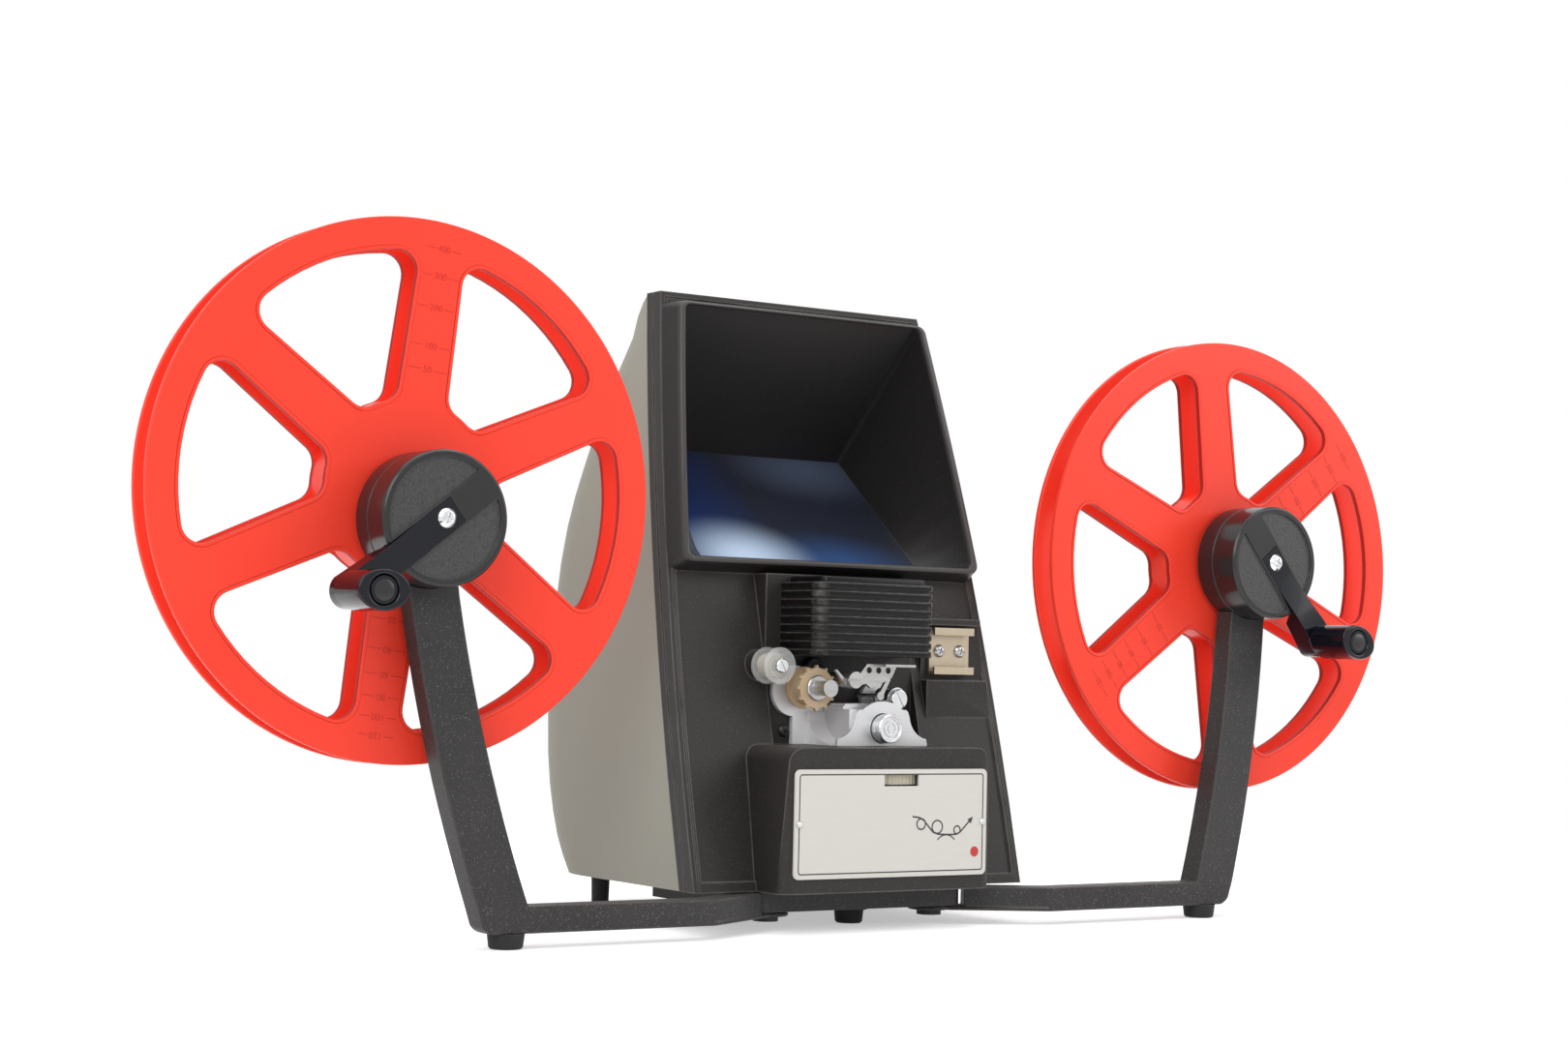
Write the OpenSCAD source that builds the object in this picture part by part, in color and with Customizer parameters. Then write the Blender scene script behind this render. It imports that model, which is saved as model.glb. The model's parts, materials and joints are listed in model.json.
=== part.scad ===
// Hand-cranked cine film viewer with a hooded rear-projection screen.
// X runs to the right, Y to the back and Z up from the surface it stands on.
// The pieces are drawn about the middle of the housing and the line through the
// two arm feet, and in_frame() moves them to the middle of the whole footprint.

/* [Housing] */
// Height of the housing's underside above the surface
housing_z0 = 14.2; // [13.8:0.1:20]
// Height of the housing's top above the surface
housing_z1 = 229.8; // [222:0.2:240]
// Half the width of the housing at its widest, near the foot
housing_half_w = 71.7; // [70:0.1:76]
// Radius of the long curve that draws the sides in towards the top
side_curve_r = 1600; // [1400:10:2000]
// Lean of the front from upright, in degrees
front_lean = 14.11; // [12:0.01:16]
// Distance of the front's foot line behind the arm feet, at surface level
front_foot_y = 8.23; // [6:0.01:10]
// Depth of the front moulding's side, from the front to the cover seam
bezel_depth = 9.8; // [8:0.1:14]
// Wall thickness of the front moulding and the cover
wall = 2.5; // [2:0.1:3]
// Width of the raised rim round the front field
field_rim = 3.6; // [3:0.1:4]
// Depth of the front field below its rim
field_depth = 0.8; // [0.4:0.1:1.2]
// Depth of the cover behind the arm feet, at its fullest
cover_back_y = 146; // [140:0.5:156]
// Radius of the cover's upright rear corners
cover_corner_r = 32; // [20:1:40]
// Step from the front moulding's side down to the cover's side
cover_step = 0.8; // [0.4:0.1:1.5]

/* [Screen and hood] */
// Half the width of the projection screen
screen_half_w = 48; // [44:0.5:50]
// Depth of the screen's back edge behind the arm feet
screen_back_y = 103; // [98:0.5:106]
// Height of the screen's back edge
screen_back_z = 174.6; // [170:0.2:178]
// Depth of the screen's front edge behind the arm feet
screen_front_y = 47; // [45:0.5:50]
// Height of the screen's front edge
screen_front_z = 129.6; // [128.6:0.2:131]
// Thickness of the screen
screen_t = 2; // [1.5:0.1:3]
// Distance that the hood's rim stands in front of the panel
hood_reach = 8.5; // [6:0.1:12]
// Height of the hood's foot at its top
hood_top_z = 226; // [222:0.2:228]
// Height of the hood's foot at its underside
hood_bottom_z = 126.4; // [124:0.2:128]
// Width of the hood's rim
hood_rim = 2.8; // [2:0.1:4]

/* [Name block] */
// Half the width of the name block at its foot
block_half_w = 46; // [44:0.5:50]
// Height of the name block's top, the shelf under the film path
block_z1 = 65; // [64:0.1:66]
// Distance of the name block's face behind the arm feet
block_face_y = -4; // [-6:0.1:-2]
// Corner radius of the name block
block_r = 5.5; // [3:0.1:7]
// Half the width of the name plate
plate_half_w = 41.8; // [38:0.1:42.4]
// Height of the name plate's lower edge
plate_z0 = 19.4; // [18:0.1:22]
// Height of the name plate's upper edge
plate_z1 = 57.4; // [56.8:0.1:59]
// Thickness of the name plate
plate_t = 1.0; // [0.6:0.1:1.5]
// Height of the focus window's lower edge
window_z0 = 51.4; // [50.8:0.1:51.6]
// Height of the focus window
window_h = 4.3; // [4:0.1:5]
// Width of the focus window
window_w = 15; // [12:0.5:18]

/* [Optics] */
// Distance of the lens axis to the right of the middle
lens_x = 3.6; // [2:0.1:5]
// Distance of the lens axis behind the arm feet
lens_y = 21; // [20:0.1:22]
// Radius of the focus wheel
focus_r = 24.6; // [24:0.1:24.8]
// Thickness of the focus wheel's rim
focus_t = 3.4; // [2.8:0.1:3.6]
// Radius of the lens barrel
barrel_r = 7.5; // [6:0.1:8]
// Length of the lens barrel
barrel_h = 16; // [12:0.5:18]
// Side of the four-sided turning prism
prism_side = 6.8; // [6:0.1:6.8]
// Height of the prism's axis above the surface
prism_z = 70; // [69.8:0.05:70.3]
// Thickness of the mirrors
mirror_t = 2; // [1.5:0.1:3]

/* [Film path] */
// Distance of the film pad's face behind the arm feet
pad_y = 32.3; // [31.8:0.1:33]
// Left edge of the film pad
pad_x0 = -31.3; // [-32:0.1:-31]
// Right edge of the film pad
pad_x1 = 34; // [33:0.1:35]
// Radius of the sprocket at the foot of its teeth
sprocket_r = 7.3; // [7:0.1:7.5]
// Number of sprocket teeth
sprocket_teeth = 12; // [10:1:14]
// Height of the sprocket's axis
sprocket_z = 85.4; // [85.2:0.1:85.6]
// Distance from the middle of the film to either sprocket disc
film_half_gap = 3.85; // [3.7:0.05:4]
// Radius of the guide roller's flanges
guide_r = 6.6; // [6:0.1:6.8]
// Radius of the exit roller
exit_r = 4.2; // [3.6:0.1:4.4]
// Radius of the frame-marking button
button_r = 5.2; // [4.6:0.1:5.4]
// Travel of the frame-marking button
button_travel = 3; // [2:0.1:3.2]
// Distance between the lamp house's fins
fin_pitch = 3; // [2.8:0.1:3.2]
// Number of fins on the lamp house
fin_count = 9; // [7:1:9]
// Width of the splice holder
holder_w = 18.5; // [16:0.1:20]
// Height of the splice holder
holder_h = 17.4; // [16:0.1:18]

/* [Arms] */
// Distance of each drum's axis from the middle
axis_x = 180; // [178:0.5:190]
// Height of the drums' axes
axis_z = 137.6; // [130:0.2:145]
// Distance of each arm's foot from the middle
foot_x = 150.2; // [145:0.1:155]
// Thickness of the arm, front to back, along the bar
bar_depth = 10; // [8:0.1:11]
// Height of the bar's underside
bar_z0 = 4.9; // [4:0.1:5.5]
// Height of the bar's top
bar_z1 = 13.7; // [12:0.1:13.7]
// Width of the upright, seen from the front
upright_w = 17.5; // [15:0.1:20]
// Radius of the upright's inner edge
upright_r = 550; // [500:5:600]
// Place of the bend where the bar turns back to its pivot
bend_x = 74; // [72:0.5:78]
// Distance of each swing pivot from the middle
pivot_x = 36; // [35:0.2:37]
// Distance of the swing pivots behind the arm feet
pivot_y = 21; // [20:0.2:23]
// Radius of the swing pivot bolts
pivot_r = 3; // [2.5:0.1:4]

/* [Drums and cranks] */
// Radius of the gear case and crank drum
drum_r = 22; // [21.5:0.1:24]
// Depth of the drum's face, in front of the arm feet
drum_face_y = -8.8; // [-10:0.1:-8.4]
// Depth of the seam between the drum and the fixed case
seam_y = 3.3; // [3:0.1:4]
// Depth of the fixed case's back
case_back_y = 12; // [11.5:0.1:12.4]
// Distance from the drum's axis to the crank knob's axis
crank_r = 39; // [34:0.5:42]
// Width of the crank lever
lever_w = 9.5; // [8:0.1:10]
// Direction of the left crank, in degrees from +X seen from the front
left_crank_angle = 218; // [180:1:360]
// Direction of the right crank, in degrees from +X seen from the front
right_crank_angle = 308.6; // [180:0.1:360]
// Depth of the knob's end, in front of the arm feet
knob_end_y = -30.5; // [-34:0.1:-28]
// Long width of the oval knob
knob_w = 17.6; // [15:0.1:19]
// Short width of the oval knob
knob_h = 12.9; // [11.5:0.1:15]
// Module of all gear teeth
gear_m = 0.8; // [0.78:0.01:0.82]
// Teeth of the ring gear inside each drum
ring_teeth = 40; // [40:1:41]
// Teeth of the left spindle's pinion
left_pinion_teeth = 15; // [15:1:16]
// Teeth of the right spindle's pinion
right_pinion_teeth = 28; // [27:1:28]

/* [Reels] */
// Radius of the reels
reel_r = 89; // [80:0.5:90]
// Depth of the reels' front face behind the arm feet
reel_y = 14.2; // [13.6:0.1:15]
// Thickness of a reel over both flanges
reel_t = 12.5; // [11.5:0.1:14]
// Thickness of one reel flange
flange_t = 2; // [1.5:0.1:2.5]
// Width of the rim outside the reel's windows
reel_rim = 10.8; // [8:0.1:14]
// Radius of the reel's core, where the windows end
core_r = 30; // [26:0.5:34]
// Width of a spoke where it leaves the core
spoke_w0 = 18.5; // [14:0.5:20]
// Width of a spoke where it meets the rim
spoke_w1 = 16.5; // [12:0.5:20]
// Radius of the reel windows' corners
window_r = 6.5; // [4:0.5:7]
// Radius of the spindle in the reel
spindle_r = 4; // [3.5:0.1:5]
// Direction of the left reel's first spoke, in degrees from +X
left_spoke_angle = 83; // [60:1:119]
// Direction of the right reel's first spoke, in degrees from +X
right_spoke_angle = 96.3; // [60:0.1:119]

/* [Clearances] */
// Radial gap between a shaft and its bore
shaft_fit = 0.04; // [0.02:0.01:0.08]
// Gap between pieces that pass each other
run_gap = 0.3; // [0.2:0.05:0.4]
// Smoothness of the round pieces
facets = 96; // [48:24:144]

/* [Hidden] */
$fn = facets;

// A margin by which cutting shapes overrun the faces they cut
over = 1;
// Reach of shapes that only have to cover the whole housing
far = 200;

// Heights and depths of the housing
front_slope = tan(front_lean);
function front_y(z) = front_foot_y + z * front_slope;
side_z = housing_z0 + 10.8;
function side_x(z) = housing_half_w - side_curve_r
    + sqrt(side_curve_r * side_curve_r - (z - side_z) * (z - side_z));
// The cover's back as height share and depth in front of its fullest point
cover_profile = [[-0.1, 44], [0, 20.5], [0.1, 7.2], [0.27, 0], [0.54, 2], [0.72, 14],
    [0.93, 40], [1, cover_back_y - front_y(housing_z1) - bezel_depth - 1.4], [1.02, 110]];
cover_steps = 3;
cover_arc = 8;

// Film path places, measured from the lens axis and the film pad
film_y = lens_y + 0.3;
disc_t = 1.6;
tooth_h = 1;
gate_z = prism_z + 9.2;
gate_front_y = 13.2;
gear_front_y = pad_y + wall + 4;
gear_t = 3;
sprocket_gear_teeth = 51;
prism_gear_teeth = 17;
gear_centres = gear_m * (sprocket_gear_teeth + prism_gear_teeth) / 2;
sprocket_x = lens_x - sqrt(gear_centres * gear_centres
    - (sprocket_z - prism_z) * (sprocket_z - prism_z));
prism_direction = atan2(prism_z - sprocket_z, lens_x - sprocket_x);
film_shaft_r = 2.5;
prism_shaft_r = 2;
prism_bore_r = prism_side * 0.7072 + 1;
guide_x = pad_x0 - 2.6;
guide_z = 93.1;
guide_y0 = 18;
guide_y1 = 27.2;
stud_r = 2;
exit_x = 16.5;
exit_z = gate_z + 2.7;
roller_half = film_half_gap + 0.8;
lever_x = -7.5;
lever_z = 88.6;
lever_pin_r = 1.8;
lever_y = 11;
lever_t = 1.4;
button_x = lens_x + 3.2;
button_z = prism_z + 1.3;
button_face_y = 6.4;
button_cap = 1.4;
button_stud_r = 3.2;
pocket_floor_y = gate_front_y + button_travel + 0.8;
lamp_x0 = -25;
lamp_x1 = 27.8;
lamp_y0 = 8;
lamp_z0 = 97;
lamp_z1 = lamp_z0 + fin_pitch * fin_count;
lamp_r = 5;
lamp_bore_r = 9;
holder_x0 = 41;
holder_z0 = 91.2;
holder_pad_y = 27.5;
holder_pad_z0 = 75;
holder_pad_z1 = 112;
holder_pocket = 4;

// Focus and lens
sleeve_r = barrel_r + 1.4;
wheel_z = window_z0 + (window_h - focus_t) / 2;
barrel_z0 = 43;

// Drum, spindle and reel places of each side; side is -1 left, 1 right
pinion_teeth = [left_pinion_teeth, right_pinion_teeth];
spindle_direction = [101.5, 192];
function at(side) = side < 0 ? 0 : 1;
function eccentric(side) = gear_m * (ring_teeth - pinion_teeth[at(side)]) / 2;
function spindle_x(side) = side * axis_x
    + eccentric(side) * cos(spindle_direction[at(side)]);
function spindle_z(side) = axis_z + eccentric(side) * sin(spindle_direction[at(side)]);
function crank_angle(side) = side < 0 ? left_crank_angle : right_crank_angle;
function spoke_angle(side) = side < 0 ? left_spoke_angle : right_spoke_angle;
collar_r = drum_r - 2;
drum_wall = 4.2;
channel_d = 3;
ring_y0 = drum_face_y + drum_wall;
ring_y1 = seam_y - 4.3;
pinion_shaft_r = 3;
knob_pin_r = 2.5;
crank_screw_r = 1.5;
knob_root_y = drum_face_y - 2.6;
spoke_count = 6;

// Frame shift: the middle of the footprint, and the surface itself
frame_x = -(spindle_x(1) + reel_r + spindle_x(-1) - reel_r) / 2;
frame_y = -(knob_end_y + cover_back_y) / 2;

// Colours of the pieces
dark_grey = [0.22, 0.21, 0.20];
cover_grey = [0.60, 0.58, 0.54];
black = [0.08, 0.08, 0.09];
reel_red = [0.95, 0.24, 0.16];
aluminium = [0.76, 0.76, 0.77];
bright_steel = [0.85, 0.85, 0.86];
zinc = [0.78, 0.73, 0.58];
clear_plastic = [0.85, 0.84, 0.80];
amber_plastic = [0.72, 0.62, 0.48];
brass = [0.80, 0.66, 0.35];

// Puts children from the drawing axes into the part's own frame
module in_frame() translate([frame_x, frame_y, 0]) children();

// Extrusions of a flat shape along each axis, from one plane to another
module along_x(x0, x1) translate([x0, 0, 0]) rotate([90, 0, 90]) linear_extrude(x1 - x0) children();
module along_y(y0, y1) translate([0, y1, 0]) rotate([90, 0, 0]) linear_extrude(y1 - y0) children();
module along_z(z0, z1) translate([0, 0, z0]) linear_extrude(z1 - z0) children();

// A rod along Y at a place seen from the front
module rod(x, z, y0, y1, r) translate([x, y1, z]) rotate([90, 0, 0]) cylinder(h = y1 - y0, r = r);

// A turned piece on a Y axis; the profile's second value runs forwards from y
module turned(x, z, y) translate([x, y, z]) rotate([90, 0, 0]) rotate_extrude() children();

// A box from one corner to the other
module block(a, b) translate(a) cube(b - a);

// Points of an arc
function arc(c, r, a0, a1, n) = [for (i = [0 : n]) let (a = a0 + (a1 - a0) * i / n)
    [c[0] + r * cos(a), c[1] + r * sin(a)]];

// A rectangle with round corners, as points
function round_rect(x0, y0, x1, y1, r, n = 6) = concat(
    arc([x1 - r, y1 - r], r, 0, 90, n), arc([x0 + r, y1 - r], r, 90, 180, n),
    arc([x0 + r, y0 + r], r, 180, 270, n), arc([x1 - r, y0 + r], r, 270, 360, n));

// A six-sided solid between two four-cornered ends with matching corners
module wedge(a, b) polyhedron(concat(a, b), split([[3, 2, 1, 0], [4, 5, 6, 7],
    [1, 5, 4, 0], [2, 6, 5, 1], [3, 7, 6, 2], [0, 4, 7, 3]]));
function split(faces) = [for (f = faces) for (t = [[f[0], f[1], f[2]], [f[0], f[2], f[3]]]) t];

// Straight-flanked gear teeth: tip is how far a tooth stands past the pitch line
tooth_tip = 0.62 * gear_m;
tooth_root = 0.95 * gear_m;
tooth_play = 0.34;
function tooth_half(h) = (PI * gear_m / 2 - tooth_play) / 2 - h * tan(24);
function gear_points(n, phase) = let (r = gear_m * n / 2) [for (i = [0 : n - 1])
    for (p = [[-1, -tooth_root], [-1, tooth_tip], [1, tooth_tip], [1, -tooth_root]])
    let (q = r + p[1], a = phase + 360 * i / n + p[0] * tooth_half(p[1]) / q * 180 / PI)
    [q * cos(a), q * sin(a)]];
function ring_points(n, phase) = let (r = gear_m * n / 2) [for (i = [0 : n - 1])
    for (p = [[-1, tooth_root], [-1, -tooth_tip], [1, -tooth_tip], [1, tooth_root]])
    let (q = r + p[1], a = phase + 360 * i / n + p[0] * tooth_half(-p[1]) / q * 180 / PI)
    [q * cos(a), q * sin(a)]];

// The housing seen from the front, drawn in by the inset on both sides
module outline(inset, z0, z1) {
    intersection() {
        translate([housing_half_w - side_curve_r, side_z]) circle(side_curve_r - inset, $fn = 720);
        translate([side_curve_r - housing_half_w, side_z]) circle(side_curve_r - inset, $fn = 720);
        translate([-far, z0]) square([2 * far, z1 - z0]);
    }
}

// The space between two planes that lean with the front, by depth along Y
module lean_slab(d0, d1) {
    along_x(-far, far) polygon([[front_y(-far) + d0, -far], [front_y(-far) + d1, -far],
        [front_y(2 * far) + d1, 2 * far], [front_y(2 * far) + d0, 2 * far]]);
}

// A slice of the housing's outline between two leaning planes
module lean_slice(inset, z0, z1, d0, d1) {
    intersection() {
        along_y(-far, far) outline(inset, z0, z1);
        lean_slab(d0, d1);
    }
}

// Front moulding: bezel, name block, film pad and splice pad in one piece
block_taper = 2.5;
module name_block_shape() {
    top_half = block_half_w - block_taper;
    r = block_r;
    intersection() {
        along_y(block_face_y, pad_y + over) polygon(concat([[-block_half_w, housing_z0],
            [block_half_w, housing_z0]], arc([top_half - r, block_z1 - r], r, 0, 90, 8),
            arc([r - top_half, block_z1 - r], r, 90, 180, 8)));
        along_z(housing_z0, block_z1) polygon(concat([[-block_half_w, far],
            [-block_half_w, block_face_y + r]],
            arc([r - block_half_w, block_face_y + r], r, 180, 270, 8),
            arc([block_half_w - r, block_face_y + r], r, 270, 360, 8), [[block_half_w, far]]));
    }
}

module front_panel() color(dark_grey) {
    hood_cut = hood_rim + 1.4;
    seam_inset = 2;
    seam_w = 0.4;
    seam_d = 0.6;
    hollow = block_half_w - block_taper - wall;
    hollow_back = front_y(block_z1) + bezel_depth + over;
    difference() {
        union() {
            // Bezel with its wall, the field sunk below the rim and the side groove
            difference() {
                lean_slice(0, housing_z0, housing_z1, 0, bezel_depth);
                lean_slice(field_rim, housing_z0 + field_rim, hood_bottom_z, -over, field_depth);
                // Seam in the rim's face, along the sides and the top
                difference() {
                    lean_slice(seam_inset, -over, housing_z1 - seam_inset, -over, seam_d);
                    lean_slice(seam_inset + seam_w, -far, housing_z1 - seam_inset - seam_w, -far, far);
                }
                lean_slice(wall, housing_z0 + wall, housing_z1 - wall, wall + field_depth, far);
                difference() {
                    lean_slice(-over, -over, far * 2, bezel_depth - 4.8, bezel_depth - 4);
                    lean_slice(0.6, housing_z0 - over, housing_z1 - 0.6, 0, far);
                }
            }
            intersection() {
                name_block_shape();
                lean_slab(-far, bezel_depth);
            }
            // The film pad's proud upper part and the walls of its sunk lower part
            block([pad_x0, pad_y, block_z1], [pad_x1, pad_y + wall, hood_bottom_z]);
            intersection() {
                block([pad_x0 - wall, 0, block_z1 - wall], [pad_x1 + wall, pad_y + wall, guide_z + 6]);
                lean_slab(field_depth, far);
            }
            intersection() {
                block([pad_x0, pad_y, block_z1], [pad_x1, pad_y + 20, hood_bottom_z]);
                lean_slab(-far, wall);
            }
            // Upright pad that carries the splice holder, drafted on its outer side
            intersection() {
                difference() {
                    block([holder_x0 - 3, holder_pad_y, holder_pad_z0], [far, pad_y + 12, holder_pad_z1]);
                    translate([holder_x0 + holder_w + 3, holder_pad_y, holder_pad_z1])
                        rotate([0, -8.2, -25.8]) block([0, -far, -far], [far, far, far]);
                    block([0, 0, holder_z0 - 2.2],
                        [far, holder_pad_y + holder_pocket, holder_z0 + holder_h + 1]);
                }
                lean_slab(-far, wall + field_depth);
                along_y(-far, far) outline(1, 0, far);
            }
        }
        // Inside of the name block, open to the back
        along_z(housing_z0 + wall, block_z1 - wall) polygon(concat([[-hollow, hollow_back],
            [-hollow, block_face_y + wall + block_r]],
            arc([block_r - hollow, block_face_y + wall + block_r], block_r, 180, 270, 6),
            arc([hollow - block_r, block_face_y + wall + block_r], block_r, 270, 360, 6),
            [[hollow, hollow_back]]));
        // The space in front of the film pad
        block([pad_x0, -far, block_z1], [pad_x1, pad_y, hood_bottom_z]);
        // The space behind the film pad, where the gears run
        block([pad_x0 + wall, pad_y + wall, block_z1 + wall],
            [pad_x1 - wall, far, hood_bottom_z - wall]);
        // Way through for the hood's funnel
        intersection() {
            lean_slab(-over, far);
            along_y(-far, far) polygon([
                [-side_x(hood_bottom_z) + hood_cut, hood_bottom_z + 1.8],
                [side_x(hood_bottom_z) - hood_cut, hood_bottom_z + 1.8],
                [side_x(hood_top_z) - hood_cut, hood_top_z - 1],
                [-side_x(hood_top_z) + hood_cut, hood_top_z - 1]]);
        }
        // Focus window, light hole, shaft bores and screw holes
        block([lens_x - window_w / 2, -far, window_z0],
            [lens_x + window_w / 2, 0, window_z0 + window_h]);
        translate([lens_x, lens_y, window_z0]) cylinder(h = window_h, r = focus_r + run_gap);
        translate([lens_x, lens_y, block_z1 - wall - over]) cylinder(h = wall + 2 * over, r = 6);
        rod(sprocket_x, sprocket_z, 0, far, film_shaft_r + shaft_fit);
        rod(lens_x, prism_z, 0, far, prism_shaft_r + shaft_fit);
    }
    // Boss that carries the guide roller
    rod(guide_x, guide_z, guide_y1 + 1, pad_y + wall, 5.6);
}

// Rear cover: a moulded shell, lofted through level rings
function spline(p, i, t) = let (a = p[i - 1], b = p[i], c = p[i + 1], d = p[i + 2])
    0.5 * (2 * b + (c - a) * t + (2 * a - 5 * b + 4 * c - d) * t * t
    + (3 * b - a - 3 * c + d) * t * t * t);
cover_line = [for (i = [1 : len(cover_profile) - 3]) for (k = [0 : cover_steps - 1])
    spline(cover_profile, i, k / cover_steps)];
cover_rings = concat(cover_line, [cover_profile[len(cover_profile) - 2]]);
function cover_ring(q, t) = let (f = q[0],
    z = housing_z0 + f * (housing_z1 - housing_z0) - t * f - (t > 0 && f == 0 ? over : 0),
    w = side_x(z) - cover_step - t,
    y0 = front_y(z) + bezel_depth - (t > 0 ? over : 0),
    y1 = max(cover_back_y - q[1] - t, y0 + 0.4),
    r = min(cover_corner_r - t, (y1 - y0) * 0.9))
    [for (p = concat([[-w, y0]], arc([r - w, y1 - r], r, 180, 90, cover_arc),
        arc([w - r, y1 - r], r, 90, 0, cover_arc), [[w, y0]])) [p[0], p[1], z]];
module loft(rings) {
    n = len(rings[0]);
    m = len(rings);
    polyhedron([for (r = rings) each r], concat(
        [[for (i = [n - 1 : -1 : 0]) i]],
        split([for (k = [0 : m - 2]) for (i = [0 : n - 1])
            [k * n + i, k * n + (i + 1) % n, (k + 1) * n + (i + 1) % n, (k + 1) * n + i]]),
        [[for (i = [0 : n - 1]) (m - 1) * n + i]]));
}
module rear_cover() color(cover_grey) {
    difference() {
        loft([for (q = cover_rings) cover_ring(q, 0)]);
        loft([for (q = cover_rings) cover_ring(q, wall)]);
        // Hole and seat of the cord gland
        rod(gland_x, gland_z, cover_back_y - gland_seat - gland_reach, far, gland_r + 0.15);
        rod(gland_x, gland_z, cover_back_y - gland_seat, far, gland_r + 3);
    }
}

// Base plate that closes the housing from below, with a hole for each rear foot
base_t = wall;
base_mid = 30;
base_half_d = 40;
rear_foot_side = 21.7;
rear_foot_back = 32;
foot_hole_r = 1.6;
function base_points(t) = [for (p = cover_ring(cover_rings[0], 0))
    let (c = front_y(housing_z0) + bezel_depth + base_mid)
    [p[0] * (1 - t / housing_half_w), c + (p[1] - c) * (1 - t / base_half_d)]];
module base_plate() color(dark_grey) {
    difference() {
        along_z(housing_z0, housing_z0 + base_t) polygon(base_points(wall + run_gap));
        for (side = [-1, 1]) translate([side * rear_foot_x, rear_foot_y, 0])
            cylinder(h = far, r = foot_hole_r);
    }
}

// Base block under the housing, which holds the arm pivots
block_z0 = 6.6;
base_half_w = 45;
base_y0 = 12.9;
base_y1 = 86;
foot_place = [7, 31];
module base_block() color(dark_grey) {
    difference() {
        along_z(block_z0, housing_z0) polygon(round_rect(-base_half_w, base_y0,
            base_half_w, base_y1, 3));
        for (side = [-1, 1]) translate([side * pivot_x, pivot_y, 0])
            cylinder(h = far, r = pivot_r + shaft_fit);
    }
}

// Front foot: a flanged rubber stud
module front_foot() color(black) translate([foot_place[0], foot_place[1], 0])
    rotate_extrude() polygon([[0, 0], [4.4, 0], [5, 0.6], [5.4, 4.6], [7.35, 5.2],
        [7.35, block_z0], [0, block_z0]]);

// Rear feet: two pegs under the back of the base plate
rear_foot_x = housing_half_w - rear_foot_side;
rear_foot_y = cover_back_y - rear_foot_back;
module rear_feet() color(black) for (side = [-1, 1])
    translate([side * rear_foot_x, rear_foot_y, 0]) rotate_extrude()
        polygon([[0, 0], [2.6, 0], [3.2, 0.8], [3.6, housing_z0], [0, housing_z0]]);

// Pivot bolts that the arms swing on
bolt_z0 = 3;
module pivot_bolts() color(black) for (side = [-1, 1])
    translate([side * pivot_x, pivot_y, 0]) {
        translate([0, 0, bolt_z0]) cylinder(h = housing_z0 - bolt_z0, r = pivot_r);
        translate([0, 0, bolt_z0]) cylinder(h = bar_z0 - bolt_z0 - run_gap, r = pivot_r + 1.5);
    }

// Hood with its funnel down to the screen, one moulding
function panel_quad(w0, z0, w1, z1, d) = [[-w0, front_y(z0) + d, z0], [w0, front_y(z0) + d, z0],
    [w1, front_y(z1) + d, z1], [-w1, front_y(z1) + d, z1]];
screen_long = norm([screen_back_y - screen_front_y, screen_back_z - screen_front_z]);
screen_dir = [(screen_back_y - screen_front_y) / screen_long,
    (screen_back_z - screen_front_z) / screen_long];
// A point on the screen plane, t along it from its front edge and n below it
function on_screen(x, t, n) = [x, screen_front_y + screen_dir[0] * t + screen_dir[1] * n,
    screen_front_z + screen_dir[1] * t - screen_dir[0] * n];
function screen_quad(w, t0, t1, n) = [on_screen(-w, t0, n), on_screen(w, t0, n),
    on_screen(w, t1, n), on_screen(-w, t1, n)];
rim_z1 = hood_top_z - 0.2;
rim_z0 = hood_bottom_z + 3;
rim_w1 = side_x(hood_top_z) - 3.5;
rim_w0 = side_x(hood_bottom_z) - 2.3;
mouth_z1 = rim_z1 - 1.4;
mouth_z0 = rim_z0 + 2.3;
flange_reach = 5;
module hood_mouth(d) wedge(panel_quad(rim_w0 - hood_rim, mouth_z0, rim_w1 - hood_rim, mouth_z1, d),
    screen_quad(screen_half_w, 0, screen_long, 0));
module hood() color(black) {
    shell = 1.8;
    difference() {
        union() {
            wedge(panel_quad(rim_w0, rim_z0, rim_w1, rim_z1, -hood_reach),
                panel_quad(side_x(hood_bottom_z) - 0.3, hood_bottom_z,
                    side_x(hood_top_z) - 0.3, hood_top_z, 0));
            wedge(panel_quad(rim_w0 - hood_rim + 0.6, mouth_z0 - 1.6,
                rim_w1 - hood_rim + 0.6, mouth_z1 + 0.6, -1),
                screen_quad(screen_half_w + shell, -shell, screen_long + shell, 0));
            // Flange that the screen lies against
            wedge(screen_quad(screen_half_w + flange_reach, -3, screen_long + flange_reach, -shell),
                screen_quad(screen_half_w + flange_reach, -3, screen_long + flange_reach, 0));
        }
        hood_mouth(-hood_reach - 0.01);
        wedge(panel_quad(rim_w0 - hood_rim, mouth_z0, rim_w1 - hood_rim, mouth_z1, -hood_reach - over),
            panel_quad(rim_w0 - hood_rim, mouth_z0, rim_w1 - hood_rim, mouth_z1, -hood_reach));
        wedge(screen_quad(screen_half_w, 0, screen_long, -0.01),
            screen_quad(screen_half_w, 0, screen_long, over));
        lean_slab(-far, -hood_reach);
    }
}

// Screen: the plate that the picture falls on from below
module screen() color([0.2, 0.3, 0.5])
    wedge(screen_quad(screen_half_w + 2, -2, screen_long + 2, 0),
        screen_quad(screen_half_w + 2, -2, screen_long + 2, screen_t));

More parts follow.
